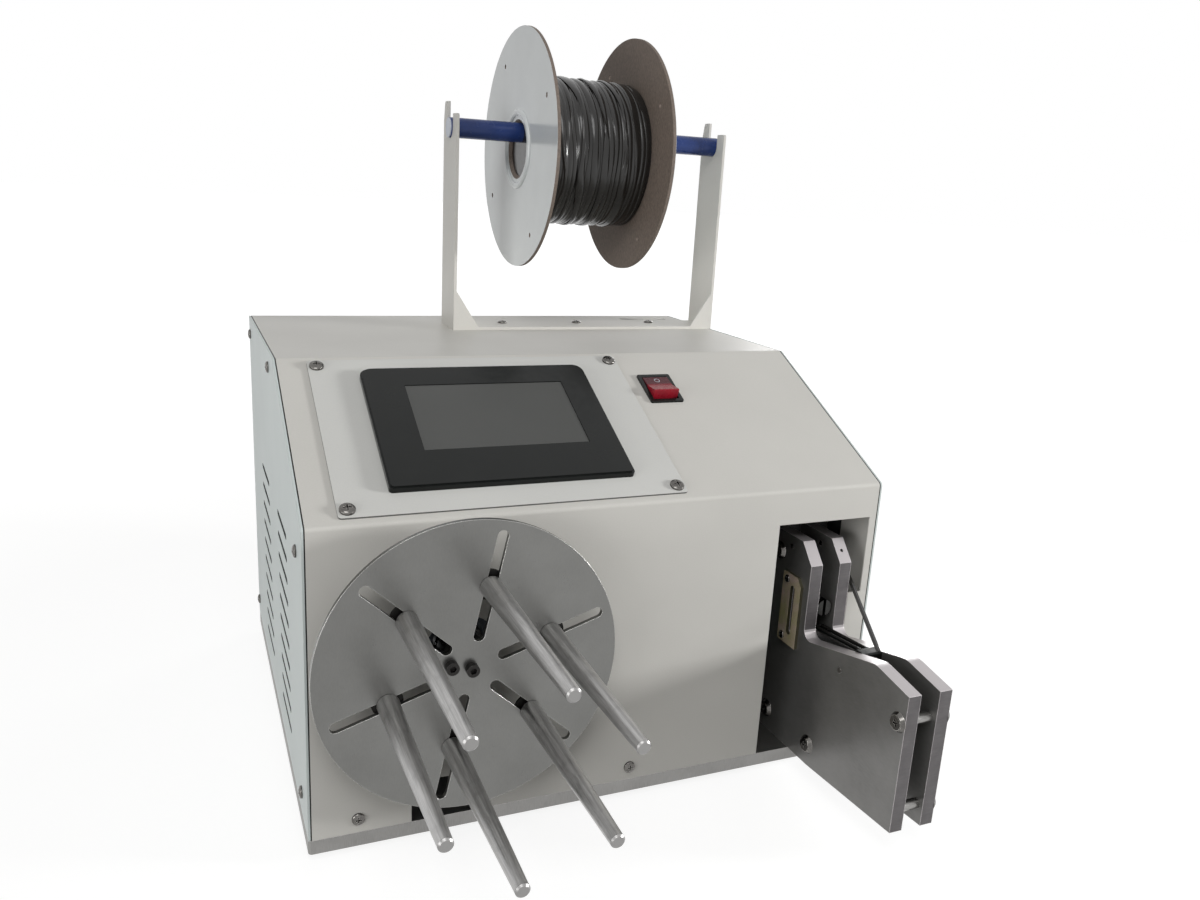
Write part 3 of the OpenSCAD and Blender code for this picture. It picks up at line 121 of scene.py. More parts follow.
class Graph:
    """A material's node tree, built with short calls that pass sockets on."""

    def __init__(self, name: str) -> None:
        """Starts an empty material with a shader and an output.

        Args:
            name: the material's name.
        """
        self.material = bpy.data.materials.new(name)
        self.material.use_nodes = True
        self.tree = self.material.node_tree
        self.tree.nodes.clear()
        self.shader = self.tree.nodes.new("ShaderNodeBsdfPrincipled")
        out = self.tree.nodes.new("ShaderNodeOutputMaterial")
        self.tree.links.new(self.shader.outputs["BSDF"], out.inputs["Surface"])
        self.place = self.tree.nodes.new("ShaderNodeTexCoord").outputs["Object"]

    def feed(self, socket: bpy.types.NodeSocket, value: object) -> None:
        """Links an input to a socket, or sets it to a plain value.

        Args:
            socket: the input.
            value: another node's output, or a number, colour or vector.
        """
        if isinstance(value, bpy.types.NodeSocket):
            self.tree.links.new(value, socket)
        else:
            socket.default_value = value

    def add(self, kind: str, inputs: dict, **settings: object) -> bpy.types.Node:
        """Adds a node.

        Args:
            kind: the node's type after "ShaderNode".
            inputs: values or sockets by input name or number.
            settings: the node's own properties.

        Returns:
            The new node.
        """
        node = self.tree.nodes.new("ShaderNode" + kind)
        for key, value in settings.items():
            setattr(node, key, value)
        for key, value in inputs.items():
            self.feed(node.inputs[key], value)
        return node

    def set(self, **values: object) -> None:
        """Sets or links inputs of the shader, with underscores for spaces.

        Args:
            values: plain values or sockets, by input name.
        """
        for key, value in values.items():
            self.feed(self.shader.inputs[key.replace("_", " ")], value)

    def axis(self, letter: str, vector: bpy.types.NodeSocket | None = None) -> bpy.types.NodeSocket:
        """One coordinate of a vector, or of the place on the object."""
        return self.add("SeparateXYZ", {"Vector": vector or self.place}).outputs[letter]

    def true_normal(self) -> bpy.types.NodeSocket:
        """The face's own normal, before any rounding."""
        return self.add("NewGeometry", {}).outputs["True Normal"]

    def stretched(self, scale: tuple[float, float, float]) -> bpy.types.NodeSocket:
        """Object coordinates, drawn out along the axes with a small scale."""
        return self.add("Mapping", {"Vector": self.place, "Scale": scale}).outputs["Vector"]

    def noise(self, scale: float, detail: float = 3.0, rough: float = 0.5,
              at: bpy.types.NodeSocket | None = None) -> bpy.types.NodeSocket:
        """Soft noise from 0 to 1.

        Args:
            scale: patches to a metre.
            detail: how many finer octaves.
            rough: strength of the finer octaves.
            at: coordinates, or the object's own.

        Returns:
            The noise's value.
        """
        inputs = {"Vector": at or self.place, "Scale": scale, "Detail": detail, "Roughness": rough}
        return self.add("TexNoise", inputs).outputs["Fac"]

    def remap(self, value: bpy.types.NodeSocket, within: tuple[float, float],
              to: tuple[float, float] = WHOLE) -> bpy.types.NodeSocket:
        """Maps a value from one range to another, and holds it at the ends.

        Args:
            value: what is mapped.
            within: the range it comes from.
            to: the range it goes to.

        Returns:
            The mapped value.
        """
        inputs = {"Value": value, "From Min": within[0], "From Max": within[1],
                  "To Min": to[0], "To Max": to[1]}
        return self.add("MapRange", inputs).outputs["Result"]

    def patches(self, scale: float, detail: float = 3.0, rough: float = 0.5,
                within: tuple[float, float] = BROAD, to: tuple[float, float] = WHOLE
                ) -> bpy.types.NodeSocket:
        """Noise with its usual values spread over a range.

        Args:
            scale: patches to a metre.
            detail: how many finer octaves.
            rough: strength of the finer octaves.
            within: the noise's values that are spread.
            to: the range they are spread over.

        Returns:
            The spread value.
        """
        return self.remap(self.noise(scale, detail, rough), within, to)

    def math(self, operation: str, a: object, b: object = 0.0) -> bpy.types.NodeSocket:
        """One step of arithmetic."""
        return self.add("Math", {0: a, 1: b}, operation=operation).outputs["Value"]

    def inside(self, value: bpy.types.NodeSocket, low: float, high: float) -> bpy.types.NodeSocket:
        """1 where a value lies between two others, and 0 elsewhere."""
        above = self.math("GREATER_THAN", value, low)
        return self.math("MULTIPLY", above, self.math("LESS_THAN", value, high))

    def blend(self, factor: object, a: object, b: object) -> bpy.types.NodeSocket:
        """Mixes two colours.

        Args:
            factor: how much of the second shows, from 0 to 1.
            a: the first colour.
            b: the second colour.

        Returns:
            The mixed colour.
        """
        node = self.tree.nodes.new("ShaderNodeMix")
        node.data_type = "RGBA"
        for socket, value in ((node.inputs[0], factor), (node.inputs[6], a), (node.inputs[7], b)):
            self.feed(socket, value)
        return node.outputs[2]

    def bump(self, height: bpy.types.NodeSocket, depth: float, over: bpy.types.NodeSocket | None = None
             ) -> bpy.types.NodeSocket:
        """Turns a height into a normal.

        Args:
            height: from 0 to 1.
            depth: how high 1 stands, in metres.
            over: a normal to start from.

        Returns:
            The changed normal.
        """
        inputs = {"Height": height, "Distance": depth, "Strength": 1.0}
        if over is not None:
            inputs["Normal"] = over
        return self.add("Bump", inputs).outputs["Normal"]

    def soft_edges(self, radius: float) -> bpy.types.NodeSocket:
        """A normal that rounds the sharp edges by this radius in metres."""
        return self.add("Bevel", {"Radius": radius}, samples=4).outputs["Normal"]

    def edge_mask(self, radius: float) -> bpy.types.NodeSocket:
        """1 close to a sharp edge and 0 away from it.

        Args:
            radius: how far from the edge it reaches, in metres.

        Returns:
            The mask's value.
        """
        facing = self.add("VectorMath", {0: self.soft_edges(radius), 1: self.true_normal()},
                          operation="DOT_PRODUCT")
        return self.remap(facing.outputs["Value"], (0.999, 0.9))

    def wear_and_highlight(self, colour: object, bright: object, reach: float, strength: float) -> bpy.types.NodeSocket:
        """Brightens the sharp edges, as rubbing and as a painted highlight.

        Args:
            colour: the colour away from them.
            bright: the colour on them.
            reach: how far it spreads, in metres.
            strength: how much of it shows, from 0 to 1.

        Returns:
            The new colour.
        """
        return self.blend(self.math("MULTIPLY", self.edge_mask(reach), strength), colour, bright)

    def slot_walls(self) -> bpy.types.NodeSocket:
        """1 on faces that don't look along X: in a sheet across X, the walls of its slots."""
        across = self.math("ABSOLUTE", self.axis("X", self.true_normal()))
        return self.math("LESS_THAN", across, 0.7)


class Finish:
    """A recipe for one material."""

    def build(self, name: str) -> bpy.types.Material:
        """Makes the material.

        Args:
            name: the material's name.

        Returns:
            The new material.
        """
        g = Graph(name)
        self.draw(g)
        return g.material

    def draw(self, g: Graph) -> None:
        """Sets up the material's nodes."""
        raise NotImplementedError


@dataclass(frozen=True)
class Paint(Finish):
    """Powder coat on sheet metal, with a fine orange peel and slight shifts of tone.

    It can carry painted shade on the cut edges of a plate, along the seam between two sheets, and on the
    walls of the vents.
    """

    colour: Colour
    roughness: float = 0.42
    gloss: float = 0.17
    tone_scale: float = 9
    speckle_scale: float = 900
    sheen_scale: float = 20
    peel_scale: float = 1100
    peel_depth: float = 0.006 * MM
    edge: float = 0.7 * MM
    rub_and_highlight: float = 0.5 * MM
    # From here on: where painted shade goes (cut edges of a plate, the seam, the vent walls) and, in
    # shade, how dark it is.
    cut_edge_shade: float | None = None
    facing: tuple[float, float, float] = (0.0, 0.0, 1.0)
    seam: tuple[float, float] | None = None
    seam_top: float = 0.0
    vents: tuple[tuple[float, float], tuple[float, float]] | None = None
    shade: float = 0.3

    def draw(self, g: Graph) -> None:
        """Lays tone, speckle, edges lightened by rubbing and by a painted highlight, and the painted
        shade over each other.

        Args:
            g: the graph that it is drawn in.
        """
        colour = g.blend(g.patches(self.tone_scale, 4), self.colour.linear(), self.colour.linear(0.972))
        speckle = g.patches(self.speckle_scale, 2, to=(0.0, 0.35))
        colour = g.blend(speckle, colour, self.colour.linear(1.02))
        # Edges lightened by rubbing, and partly a painted highlight.
        colour = g.wear_and_highlight(colour, self.colour.linear(1.06), self.rub_and_highlight, 0.3)
        dark = self.colour.linear(self.shade)
        # Painted shade on the cut edges of a plate.
        if self.cut_edge_shade is not None:
            level = g.add("VectorMath", {0: g.true_normal(), 1: self.facing}, operation="DOT_PRODUCT")
            cut = g.math("LESS_THAN", level.outputs["Value"], 0.5)
            colour = g.blend(cut, colour, self.colour.linear(self.cut_edge_shade))
        # Painted shade in the seam between the cover and a side panel.
        if self.seam is not None:
            aside = g.inside(g.math("ABSOLUTE", g.axis("X")), *self.seam)
            below = g.math("LESS_THAN", g.axis("Z"), self.seam_top)
            colour = g.blend(g.math("MULTIPLY", aside, below), colour, dark)
        # Painted shade on the walls of the vent slots.
        if self.vents is not None:
            along, up = self.vents
            zone = g.math("MULTIPLY", g.inside(g.axis("Y"), *along), g.inside(g.axis("Z"), *up))
            colour = g.blend(g.math("MULTIPLY", zone, g.slot_walls()), colour, dark)
        rough = g.patches(self.sheen_scale, 3, to=(self.roughness - 0.015, self.roughness + 0.02))
        normal = g.bump(g.noise(self.peel_scale, 2), self.peel_depth, g.soft_edges(self.edge))
        g.set(Base_Color=colour, Roughness=rough, Normal=normal, Specular_IOR_Level=self.gloss)


@dataclass(frozen=True)
class Metal(Finish):
    """Bare metal with a grain that runs along one axis, soft stains and a painted highlight on its edges.

    Behind its mark along the depth, inside the housing, it is darker: painted shade.
    """

    colour: Colour
    roughness: float = 0.34
    grain: tuple[float, float, float] = (1.0, 0.04, 1.0)
    grain_scale: float = 2600
    grain_depth: float = 0.006 * MM
    edge: float = 0.45 * MM
    edge_light: float = 1.5
    edge_highlight: float = 0.8
    stain: float = 0.88
    stain_scale: float = 22
    sheen_scale: float = 60
    streak: float = 0.5
    # Painted shade behind this mark along the depth, at this share of the colour.
    shaded_behind: float | None = None
    behind_shade: float = 0.4

    def draw(self, g: Graph) -> None:
        """Lays stains, grain, the painted edge highlight and the painted shade behind the mark over each
        other.

        Args:
            g: the graph that it is drawn in.
        """
        lines = g.noise(self.grain_scale, 3, 0.6, g.stretched(self.grain))
        stains = g.patches(self.stain_scale, 5, 0.6, MEDIUM)
        colour = g.blend(stains, self.colour.linear(self.stain), self.colour.linear())
        colour = g.blend(g.remap(lines, STEEP, (0.0, self.streak)), colour, self.colour.linear(1.12))
        # Painted highlight on the sharp edges.
        colour = g.wear_and_highlight(colour, self.colour.linear(self.edge_light), self.edge, self.edge_highlight)
        # Painted shade on what lies behind the mark, inside the housing.
        if self.shaded_behind is not None:
            behind = g.math("GREATER_THAN", g.axis("Y"), self.shaded_behind)
            colour = g.blend(behind, colour, self.colour.linear(self.behind_shade))
        streaks = g.remap(lines, BROAD, (-0.1 * self.streak, 0.14 * self.streak))
        sheen = g.patches(self.sheen_scale, 4, to=(self.roughness - 0.02, self.roughness + 0.03))
        normal = g.bump(lines, self.grain_depth, g.soft_edges(self.edge))
        g.set(Base_Color=colour, Metallic=1.0, Roughness=g.math("ADD", streaks, sheen), Normal=normal)


@dataclass(frozen=True)
class Plated(Finish):
    """Bright plating on small hardware, with a painted highlight on its edges and painted shade in its
    recesses.
    """

    colour: Colour = Colour(112, 110, 107)
    # The colour of the painted shade in the recesses.
    recess_shade: Colour = Colour(20, 19, 18)
    roughness: float = 0.15
    shade_reach: float = 1.6 * MM
    rub_and_highlight: float = 0.35 * MM
    edge: float = 0.2 * MM
    pit_depth: float = 0.004 * MM
    cloud_scale: float = 260
    sheen_scale: float = 420
    pit_scale: float = 1800

    def draw(self, g: Graph) -> None:
        """Lays clouds, the painted edge highlight and the painted shade in the recesses over each other.

        Args:
            g: the graph that it is drawn in.
        """
        cloud = g.patches(self.cloud_scale, 4)
        colour = g.blend(cloud, self.colour.linear(0.8), self.colour.linear())
        # Painted highlight on the edges.
        colour = g.wear_and_highlight(colour, self.colour.linear(2.0), self.rub_and_highlight, 0.8)
        # Painted shade in the recesses, from ambient occlusion.
        open_air = g.add("AmbientOcclusion", {"Distance": self.shade_reach}, samples=6).outputs["AO"]
        colour = g.blend(g.remap(open_air, (0.35, 0.8), WHOLE_DOWN), colour, self.recess_shade.linear())
        rough = g.patches(self.sheen_scale, 4, to=(self.roughness - 0.05, self.roughness + 0.08))
        normal = g.bump(g.noise(self.pit_scale, 3), self.pit_depth, g.soft_edges(self.edge))
        g.set(Base_Color=colour, Metallic=1.0, Roughness=rough, Normal=normal)


@dataclass(frozen=True)
class FingerSteel(Finish):
    """Turned and polished steel in front of the disc, with painted shade on its tip; washer, nut and stud
    behind it are dark.
    """

    tip: float
    disc_back: float
    tip_length: float = 1.6 * MM
    colour: Colour = Colour(188, 187, 186)
    black: Colour = Colour(44, 43, 42)
    polish_scale: float = 1500
    ring_scale: float = 2200
    stain_scale: float = 70
    groove_depth: float = 0.0015 * MM
    edge: float = 0.3 * MM

    def draw(self, g: Graph) -> None:
        """Polishes along the finger, with faint turning rings across it.

        Args:
            g: the graph that it is drawn in.
        """
        y = g.axis("Y")
        lines = g.noise(self.polish_scale, 3, 0.6, g.stretched((1.0, 0.02, 1.0)))
        rings = g.noise(self.ring_scale, 2, 0.5, g.stretched((0.04, 1.0, 0.04)))
        streaks = g.remap(lines, STEEP, (0.0, 0.6))
        colour = g.blend(streaks, self.colour.linear(0.86), self.colour.linear(1.08))
        stains = g.patches(self.stain_scale, 4, within=(0.55, 0.75), to=(0.0, 0.4))
        colour = g.blend(stains, colour, self.colour.linear(0.7))
        # Painted shade on the tip.
        shaded_tip = g.math("LESS_THAN", y, self.tip + self.tip_length)
        colour = g.blend(shaded_tip, colour, self.colour.linear(0.78))
        # Darker and rougher behind the disc.
        behind = g.math("GREATER_THAN", y, self.disc_back)
        colour = g.blend(behind, colour, self.black.linear())
        polish = g.math("ADD", g.remap(lines, BROAD, (0.29, 0.37)), g.remap(rings, BROAD, (0.0, 0.05)))
        rough = g.math("ADD", polish, g.math("MULTIPLY", behind, 0.2))
        normal = g.bump(g.math("ADD", lines, rings), self.groove_depth, g.soft_edges(self.edge))
        g.set(Base_Color=colour, Metallic=1.0, Roughness=rough, Normal=normal)


@dataclass(frozen=True)
class RockerRed(Finish):
    """Clear red moulding, with painted shade where it lies in the frame and painted light where it stands
    proud.

    The fold is where its two halves meet, along the depth.
    """

    fold: float
    fold_start: float = 1.0 * MM
    fold_end: float = 3.0 * MM
    # Colours of the painted light and the painted shade.
    glow: Colour = Colour(160, 28, 44)
    shaded_red: Colour = Colour(84, 31, 39)
    gloss: float = 0.22
    cloud_scale: float = 160
    sheen_scale: float = 300
    wave_scale: float = 500
    wave_depth: float = 0.004 * MM
    edge: float = 0.5 * MM

    def draw(self, g: Graph) -> None:
        """Turns from painted light to painted shade across the fold, with a painted highlight on the
        edges.

        Args:
            g: the graph that it is drawn in.
        """
        # Painted light on the proud half, turning to painted shade on the half in the frame.
        shaded_half = g.remap(g.axis("Y"), (self.fold - self.fold_start, self.fold + self.fold_end))
        colour = g.blend(shaded_half, self.glow.linear(), self.shaded_red.linear())
        colour = g.blend(g.patches(self.cloud_scale, 3, to=(0.0, 0.3)), colour, self.shaded_red.linear())
        # Painted highlight on the edges.
        colour = g.wear_and_highlight(colour, self.glow.linear(0.75), self.edge, 0.5)
        normal = g.bump(g.noise(self.wave_scale, 2), self.wave_depth, g.soft_edges(self.edge))
        g.set(Base_Color=colour, Roughness=g.patches(self.sheen_scale, 3, to=(0.22, 0.32)), Normal=normal,
              Specular_IOR_Level=self.gloss)


@dataclass(frozen=True)
class GroundSteel(Finish):
    """Thick plate with ground sides, and sawn edges that carry a painted highlight where they face up."""

    side: Colour = Colour(122, 121, 119)
    edge: Colour = Colour(106, 103, 104)
    ground_scale: float = 2600
    sawn_scale: float = 1700
    cloud_scale: float = 16
    stain_scale: float = 70
    outline: float = 0.7 * MM
    round_over: float = 0.5 * MM
    groove_depth: float = 0.001 * MM

    def draw(self, g: Graph) -> None:
        """Gives the sides and the edges each their own grain, a painted highlight where the edges face
        up, and a painted highlight along the outline.

        Args:
            g: the graph that it is drawn in.
        """
        facing = g.true_normal()
        flat = g.math("GREATER_THAN", g.math("ABSOLUTE", g.axis("X", facing)), 0.9)
        upward_highlight = g.remap(g.axis("Z", facing), (0.15, 0.5), (0.0, 0.9))
        lines = g.noise(self.ground_scale, 3, 0.6, g.stretched((1.0, 0.05, 0.6)))
        cuts = g.noise(self.sawn_scale, 3, 0.6, g.stretched((0.05, 1.0, 1.0)))
        cloud = g.patches(self.cloud_scale, 4, 0.6, MEDIUM)
        side = g.blend(cloud, self.side.linear(0.9), self.side.linear(1.06))
        side = g.blend(g.remap(lines, NARROW, (0.0, 0.25)), side, self.side.linear(1.15))
        edge = g.blend(g.remap(cuts, STEEP, (0.0, 0.5)), self.edge.linear(), self.edge.linear(0.8))
        stains = g.patches(self.stain_scale, 4, within=STEEP, to=(0.0, 0.6))
        edge = g.blend(stains, edge, self.edge.linear(0.78))
        # Painted highlight where the edges face up.
        edge = g.blend(upward_highlight, edge, self.edge.linear(1.85))
        # Painted highlight along the outline.
        colour = g.wear_and_highlight(g.blend(flat, edge, side), self.edge.linear(2.25), self.outline, 0.9)
        rough = g.math("ADD", g.remap(flat, WHOLE, (0.34, 0.32)), g.remap(cloud, WHOLE, (-0.03, 0.04)))
        normal = g.bump(g.blend(flat, cuts, lines), self.groove_depth, g.soft_edges(self.round_over))
        g.set(Base_Color=colour, Metallic=0.55, Roughness=rough, Normal=normal)


@dataclass(frozen=True)
class Moulding(Finish):
    """Moulded plastic with a fine spark-eroded texture, and edges lightened by fading and by a painted
    highlight.
    """

    colour: Colour
    roughness: float = 0.4
    texture: float = 1400
    depth: float = 0.015 * MM
    edge: float = 0.5 * MM
    gloss: float = 0.3
    tone_scale: float = 40
    sheen_scale: float = 150

    def draw(self, g: Graph) -> None:
        """Lays tone and the edges lightened by fading and by a painted highlight over each other.

        Args:
            g: the graph that it is drawn in.
        """
        colour = g.blend(g.patches(self.tone_scale, 4), self.colour.linear(), self.colour.linear(0.9))
        # Edges lightened by fading, and partly a painted highlight.
        colour = g.wear_and_highlight(colour, self.colour.linear(1.35), self.edge, 0.35)
        rough = g.patches(self.sheen_scale, 4, to=(self.roughness - 0.06, self.roughness + 0.06))
        normal = g.bump(g.noise(self.texture, 2), self.depth, g.soft_edges(self.edge))
        g.set(Base_Color=colour, Roughness=rough, Normal=normal, Specular_IOR_Level=self.gloss)


@dataclass(frozen=True)
class Cast(Finish):
    """Sand-cast or sprayed metal with a pebbled skin."""

    colour: Colour
    roughness: float = 0.55
    pebble: float = 500
    depth: float = 0.12 * MM
    edge: float = 0.6 * MM

    def draw(self, g: Graph) -> None:
        """Darkens the hollows between the pebbles and brightens the edges.

        Args:
            g: the graph that it is drawn in.
        """
        pebbles = g.noise(self.pebble, 5, 0.6)
        colour = g.blend(g.remap(pebbles, STEEP), self.colour.linear(0.82), self.colour.linear(1.1))
        # Edges lightened by rubbing, and partly a painted highlight.
        colour = g.wear_and_highlight(colour, self.colour.linear(1.5), self.edge, 0.5)
        rough = g.remap(pebbles, BROAD, (self.roughness, self.roughness + 0.1))
        normal = g.bump(pebbles, self.depth, g.soft_edges(self.edge))
        g.set(Base_Color=colour, Roughness=rough, Metallic=0.25, Normal=normal)


@dataclass(frozen=True)
class Chromate(Finish):
    """Yellow zinc plating, which shifts between olive, straw and a pinkish tone, with painted shade on
    its slot walls.
    """

    olive: Colour = Colour(198, 190, 140)
    rose: Colour = Colour(222, 200, 186)
    shift_scale: float = 45
    fleck_scale: float = 700
    sheen_scale: float = 90
    crystal_scale: float = 1500
    crystal_depth: float = 0.01 * MM
    edge: float = 0.3 * MM

    def draw(self, g: Graph) -> None:
        """Lays the shift of tone, flecks and the painted shade on the slot walls over each other.

        Args:
            g: the graph that it is drawn in.
        """
        shift = g.patches(self.shift_scale, 3, within=(0.36, 0.62))
        colour = g.blend(shift, self.olive.linear(), self.rose.linear())
        flecks = g.patches(self.fleck_scale, 3, to=(0.0, 0.3))
        colour = g.blend(flecks, colour, self.olive.linear(0.7))
        # Painted shade on the slot walls.
        colour = g.blend(g.slot_walls(), colour, self.olive.linear(0.36))
        rough = g.patches(self.sheen_scale, 3, to=(0.32, 0.46))
        normal = g.bump(g.noise(self.crystal_scale, 3), self.crystal_depth, g.soft_edges(self.edge))
        g.set(Base_Color=colour, Metallic=0.3, Roughness=rough, Normal=normal)


@dataclass(frozen=True)
class SpoolBoard(Finish):
    """Coated board: glossy white outside, and brown on the sides that face the winding, the bare fibre on
    its rims and painted shade on its inner faces.
    """

    inner_low: float
    inner_high: float
    core: float = 3.2 * MM
    white: Colour = Colour(216, 220, 220)
    brown: Colour = Colour(118, 106, 97)
    fibre_scale: float = 700
    tone_scale: float = 14
    fibre_depth: float = 0.03 * MM
    edge: float = 0.3 * MM

    def draw(self, g: Graph) -> None:
        """Changes from white to brown inside the board's thickness: fibre on the rims, painted shade on
        the inner faces.

        Args:
            g: the graph that it is drawn in.
        """
        # Brown toward the winding: the rims' bare fibre, and painted shade on the inner faces.
        inside = g.inside(g.axis("X"), self.inner_low - self.core, self.inner_high + self.core)
        fibre = g.noise(self.fibre_scale, 6, 0.7, g.stretched((1.0, 1.0, 0.45)))
        brown = g.blend(g.remap(fibre, STEEP), self.brown.linear(0.86), self.brown.linear(1.1))
        white = g.blend(g.patches(self.tone_scale, 4), self.white.linear(), self.white.linear(0.96))
        rough = g.remap(inside, WHOLE, (0.16, 0.72))
        normal = g.bump(g.math("MULTIPLY", fibre, inside), self.fibre_depth, g.soft_edges(self.edge))
        g.set(Base_Color=g.blend(inside, white, brown), Roughness=rough, Normal=normal)


@dataclass(frozen=True)
class Screen(Finish):
    """Dark screen under matt glass, with a soft shift of tone."""

    colour: Colour = Colour(74, 75, 73)
    tone_scale: float = 6
    grain_scale: float = 3500
    grain_depth: float = 0.002 * MM
    gloss: float = 0.3
    coat: float = 0.12
    coat_roughness: float = 0.12

    def draw(self, g: Graph) -> None:
        """Lays a soft tone and the glass's fine grain over each other.

        Args:
            g: the graph that it is drawn in.
        """
        grain = g.noise(self.grain_scale, 1)
        tone = g.patches(self.tone_scale, 2, within=STEEP)
        colour = g.blend(tone, self.colour.linear(0.93), self.colour.linear(1.05))
        colour = g.blend(g.remap(grain, NARROW, (0.0, 0.25)), colour, self.colour.linear(0.8))
        rough = g.remap(grain, NARROW, (0.3, 0.36))
        g.set(Base_Color=colour, Roughness=rough, Normal=g.bump(grain, self.grain_depth),
              Specular_IOR_Level=self.gloss, Coat_Weight=self.coat, Coat_Roughness=self.coat_roughness)


@dataclass(frozen=True)
class Board(Finish):
    """Green circuit board with paler tracks."""

    colour: Colour = Colour(30, 84, 52)
    track_scale: float = 240
    track_height: float = 0.03 * MM
    edge: float = 0.3 * MM

    def draw(self, g: Graph) -> None:
        """Draws the tracks along the borders of square cells.

        Args:
            g: the graph that it is drawn in.
        """
        cells = g.add("TexVoronoi", {"Vector": g.place, "Scale": self.track_scale}, distance="CHEBYCHEV",
                      feature="F1").outputs["Distance"]
        track = g.remap(cells, (0.34, 0.4))
        colour = g.blend(track, self.colour.linear(), self.colour.linear(1.5))
        normal = g.bump(track, self.track_height, g.soft_edges(self.edge))
        g.set(Base_Color=colour, Roughness=g.remap(track, WHOLE, (0.35, 0.25)), Normal=normal)


@dataclass(frozen=True)
class Marks:
    """Places on the machine where a finish changes, read from the CAD boxes."""

    board_gap: float = 0.3 * MM
    disc_gap: float = 0.3 * MM
    cover_strip: tuple[float, float] = (0.35 * MM, 0.1 * MM)
    panel_strip: tuple[float, float] = (0.1 * MM, 0.3 * MM)
    seam_rise: float = 0.05 * MM
    vent_margin: float = 8 * MM
    vent_rise: tuple[float, float] = (12 * MM, 210 * MM)

    def winding_sides(self) -> tuple[float, float]:
        """Where the winding meets the two flanges, along X."""
        low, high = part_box("tie_winding")
        return low.x - self.board_gap, high.x + self.board_gap

    def disc_back(self) -> float:
        """The disc's rear face, along Y."""
        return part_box("winding_disc")[1].y

    def finger_tip(self) -> float:
        """Where the fingers end in front, along Y."""
        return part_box("finger_1")[0].y

    def slope_normal(self) -> tuple[float, float, float]:
        """The direction that the slope faces, from the screen that lies on it.

        Returns:
            A vector of length 1.
        """
        low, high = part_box("hmi_screen")
        run = (high - low).yz.normalized()
        return (0.0, -run.y, run.x)

    def rocker_fold(self) -> float:
        """Where the rocker's two halves meet, along Y."""
        low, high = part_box("rocker_button")
        return (low.y + high.y) / 2

    def cover_seam(self) -> tuple[float, float]:
        """The cover's outermost strip, beside a side panel, by its distance from the middle."""
        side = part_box("front_cover")[1].x
        return side - self.cover_strip[0], side + self.cover_strip[1]

    def panel_seam(self) -> tuple[float, float]:
        """A side panel's innermost strip, beside the cover, by its distance from the middle."""
        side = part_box("right_side_panel")[0].x
        return side - self.panel_strip[0], side + self.panel_strip[1]

    def seam_top(self) -> float:
        """How high the seam reaches."""
        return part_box("front_cover")[1].z + self.seam_rise

    def vents(self) -> tuple[tuple[float, float], tuple[float, float]]:
        """The part of a side panel that holds its vents.

        Returns:
            Its lowest and highest place along Y, and the same along Z.
        """
        low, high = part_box("right_side_panel")
        along = (low.y + self.vent_margin, high.y - self.vent_margin)
        return along, (low.z + self.vent_rise[0], low.z + self.vent_rise[1])


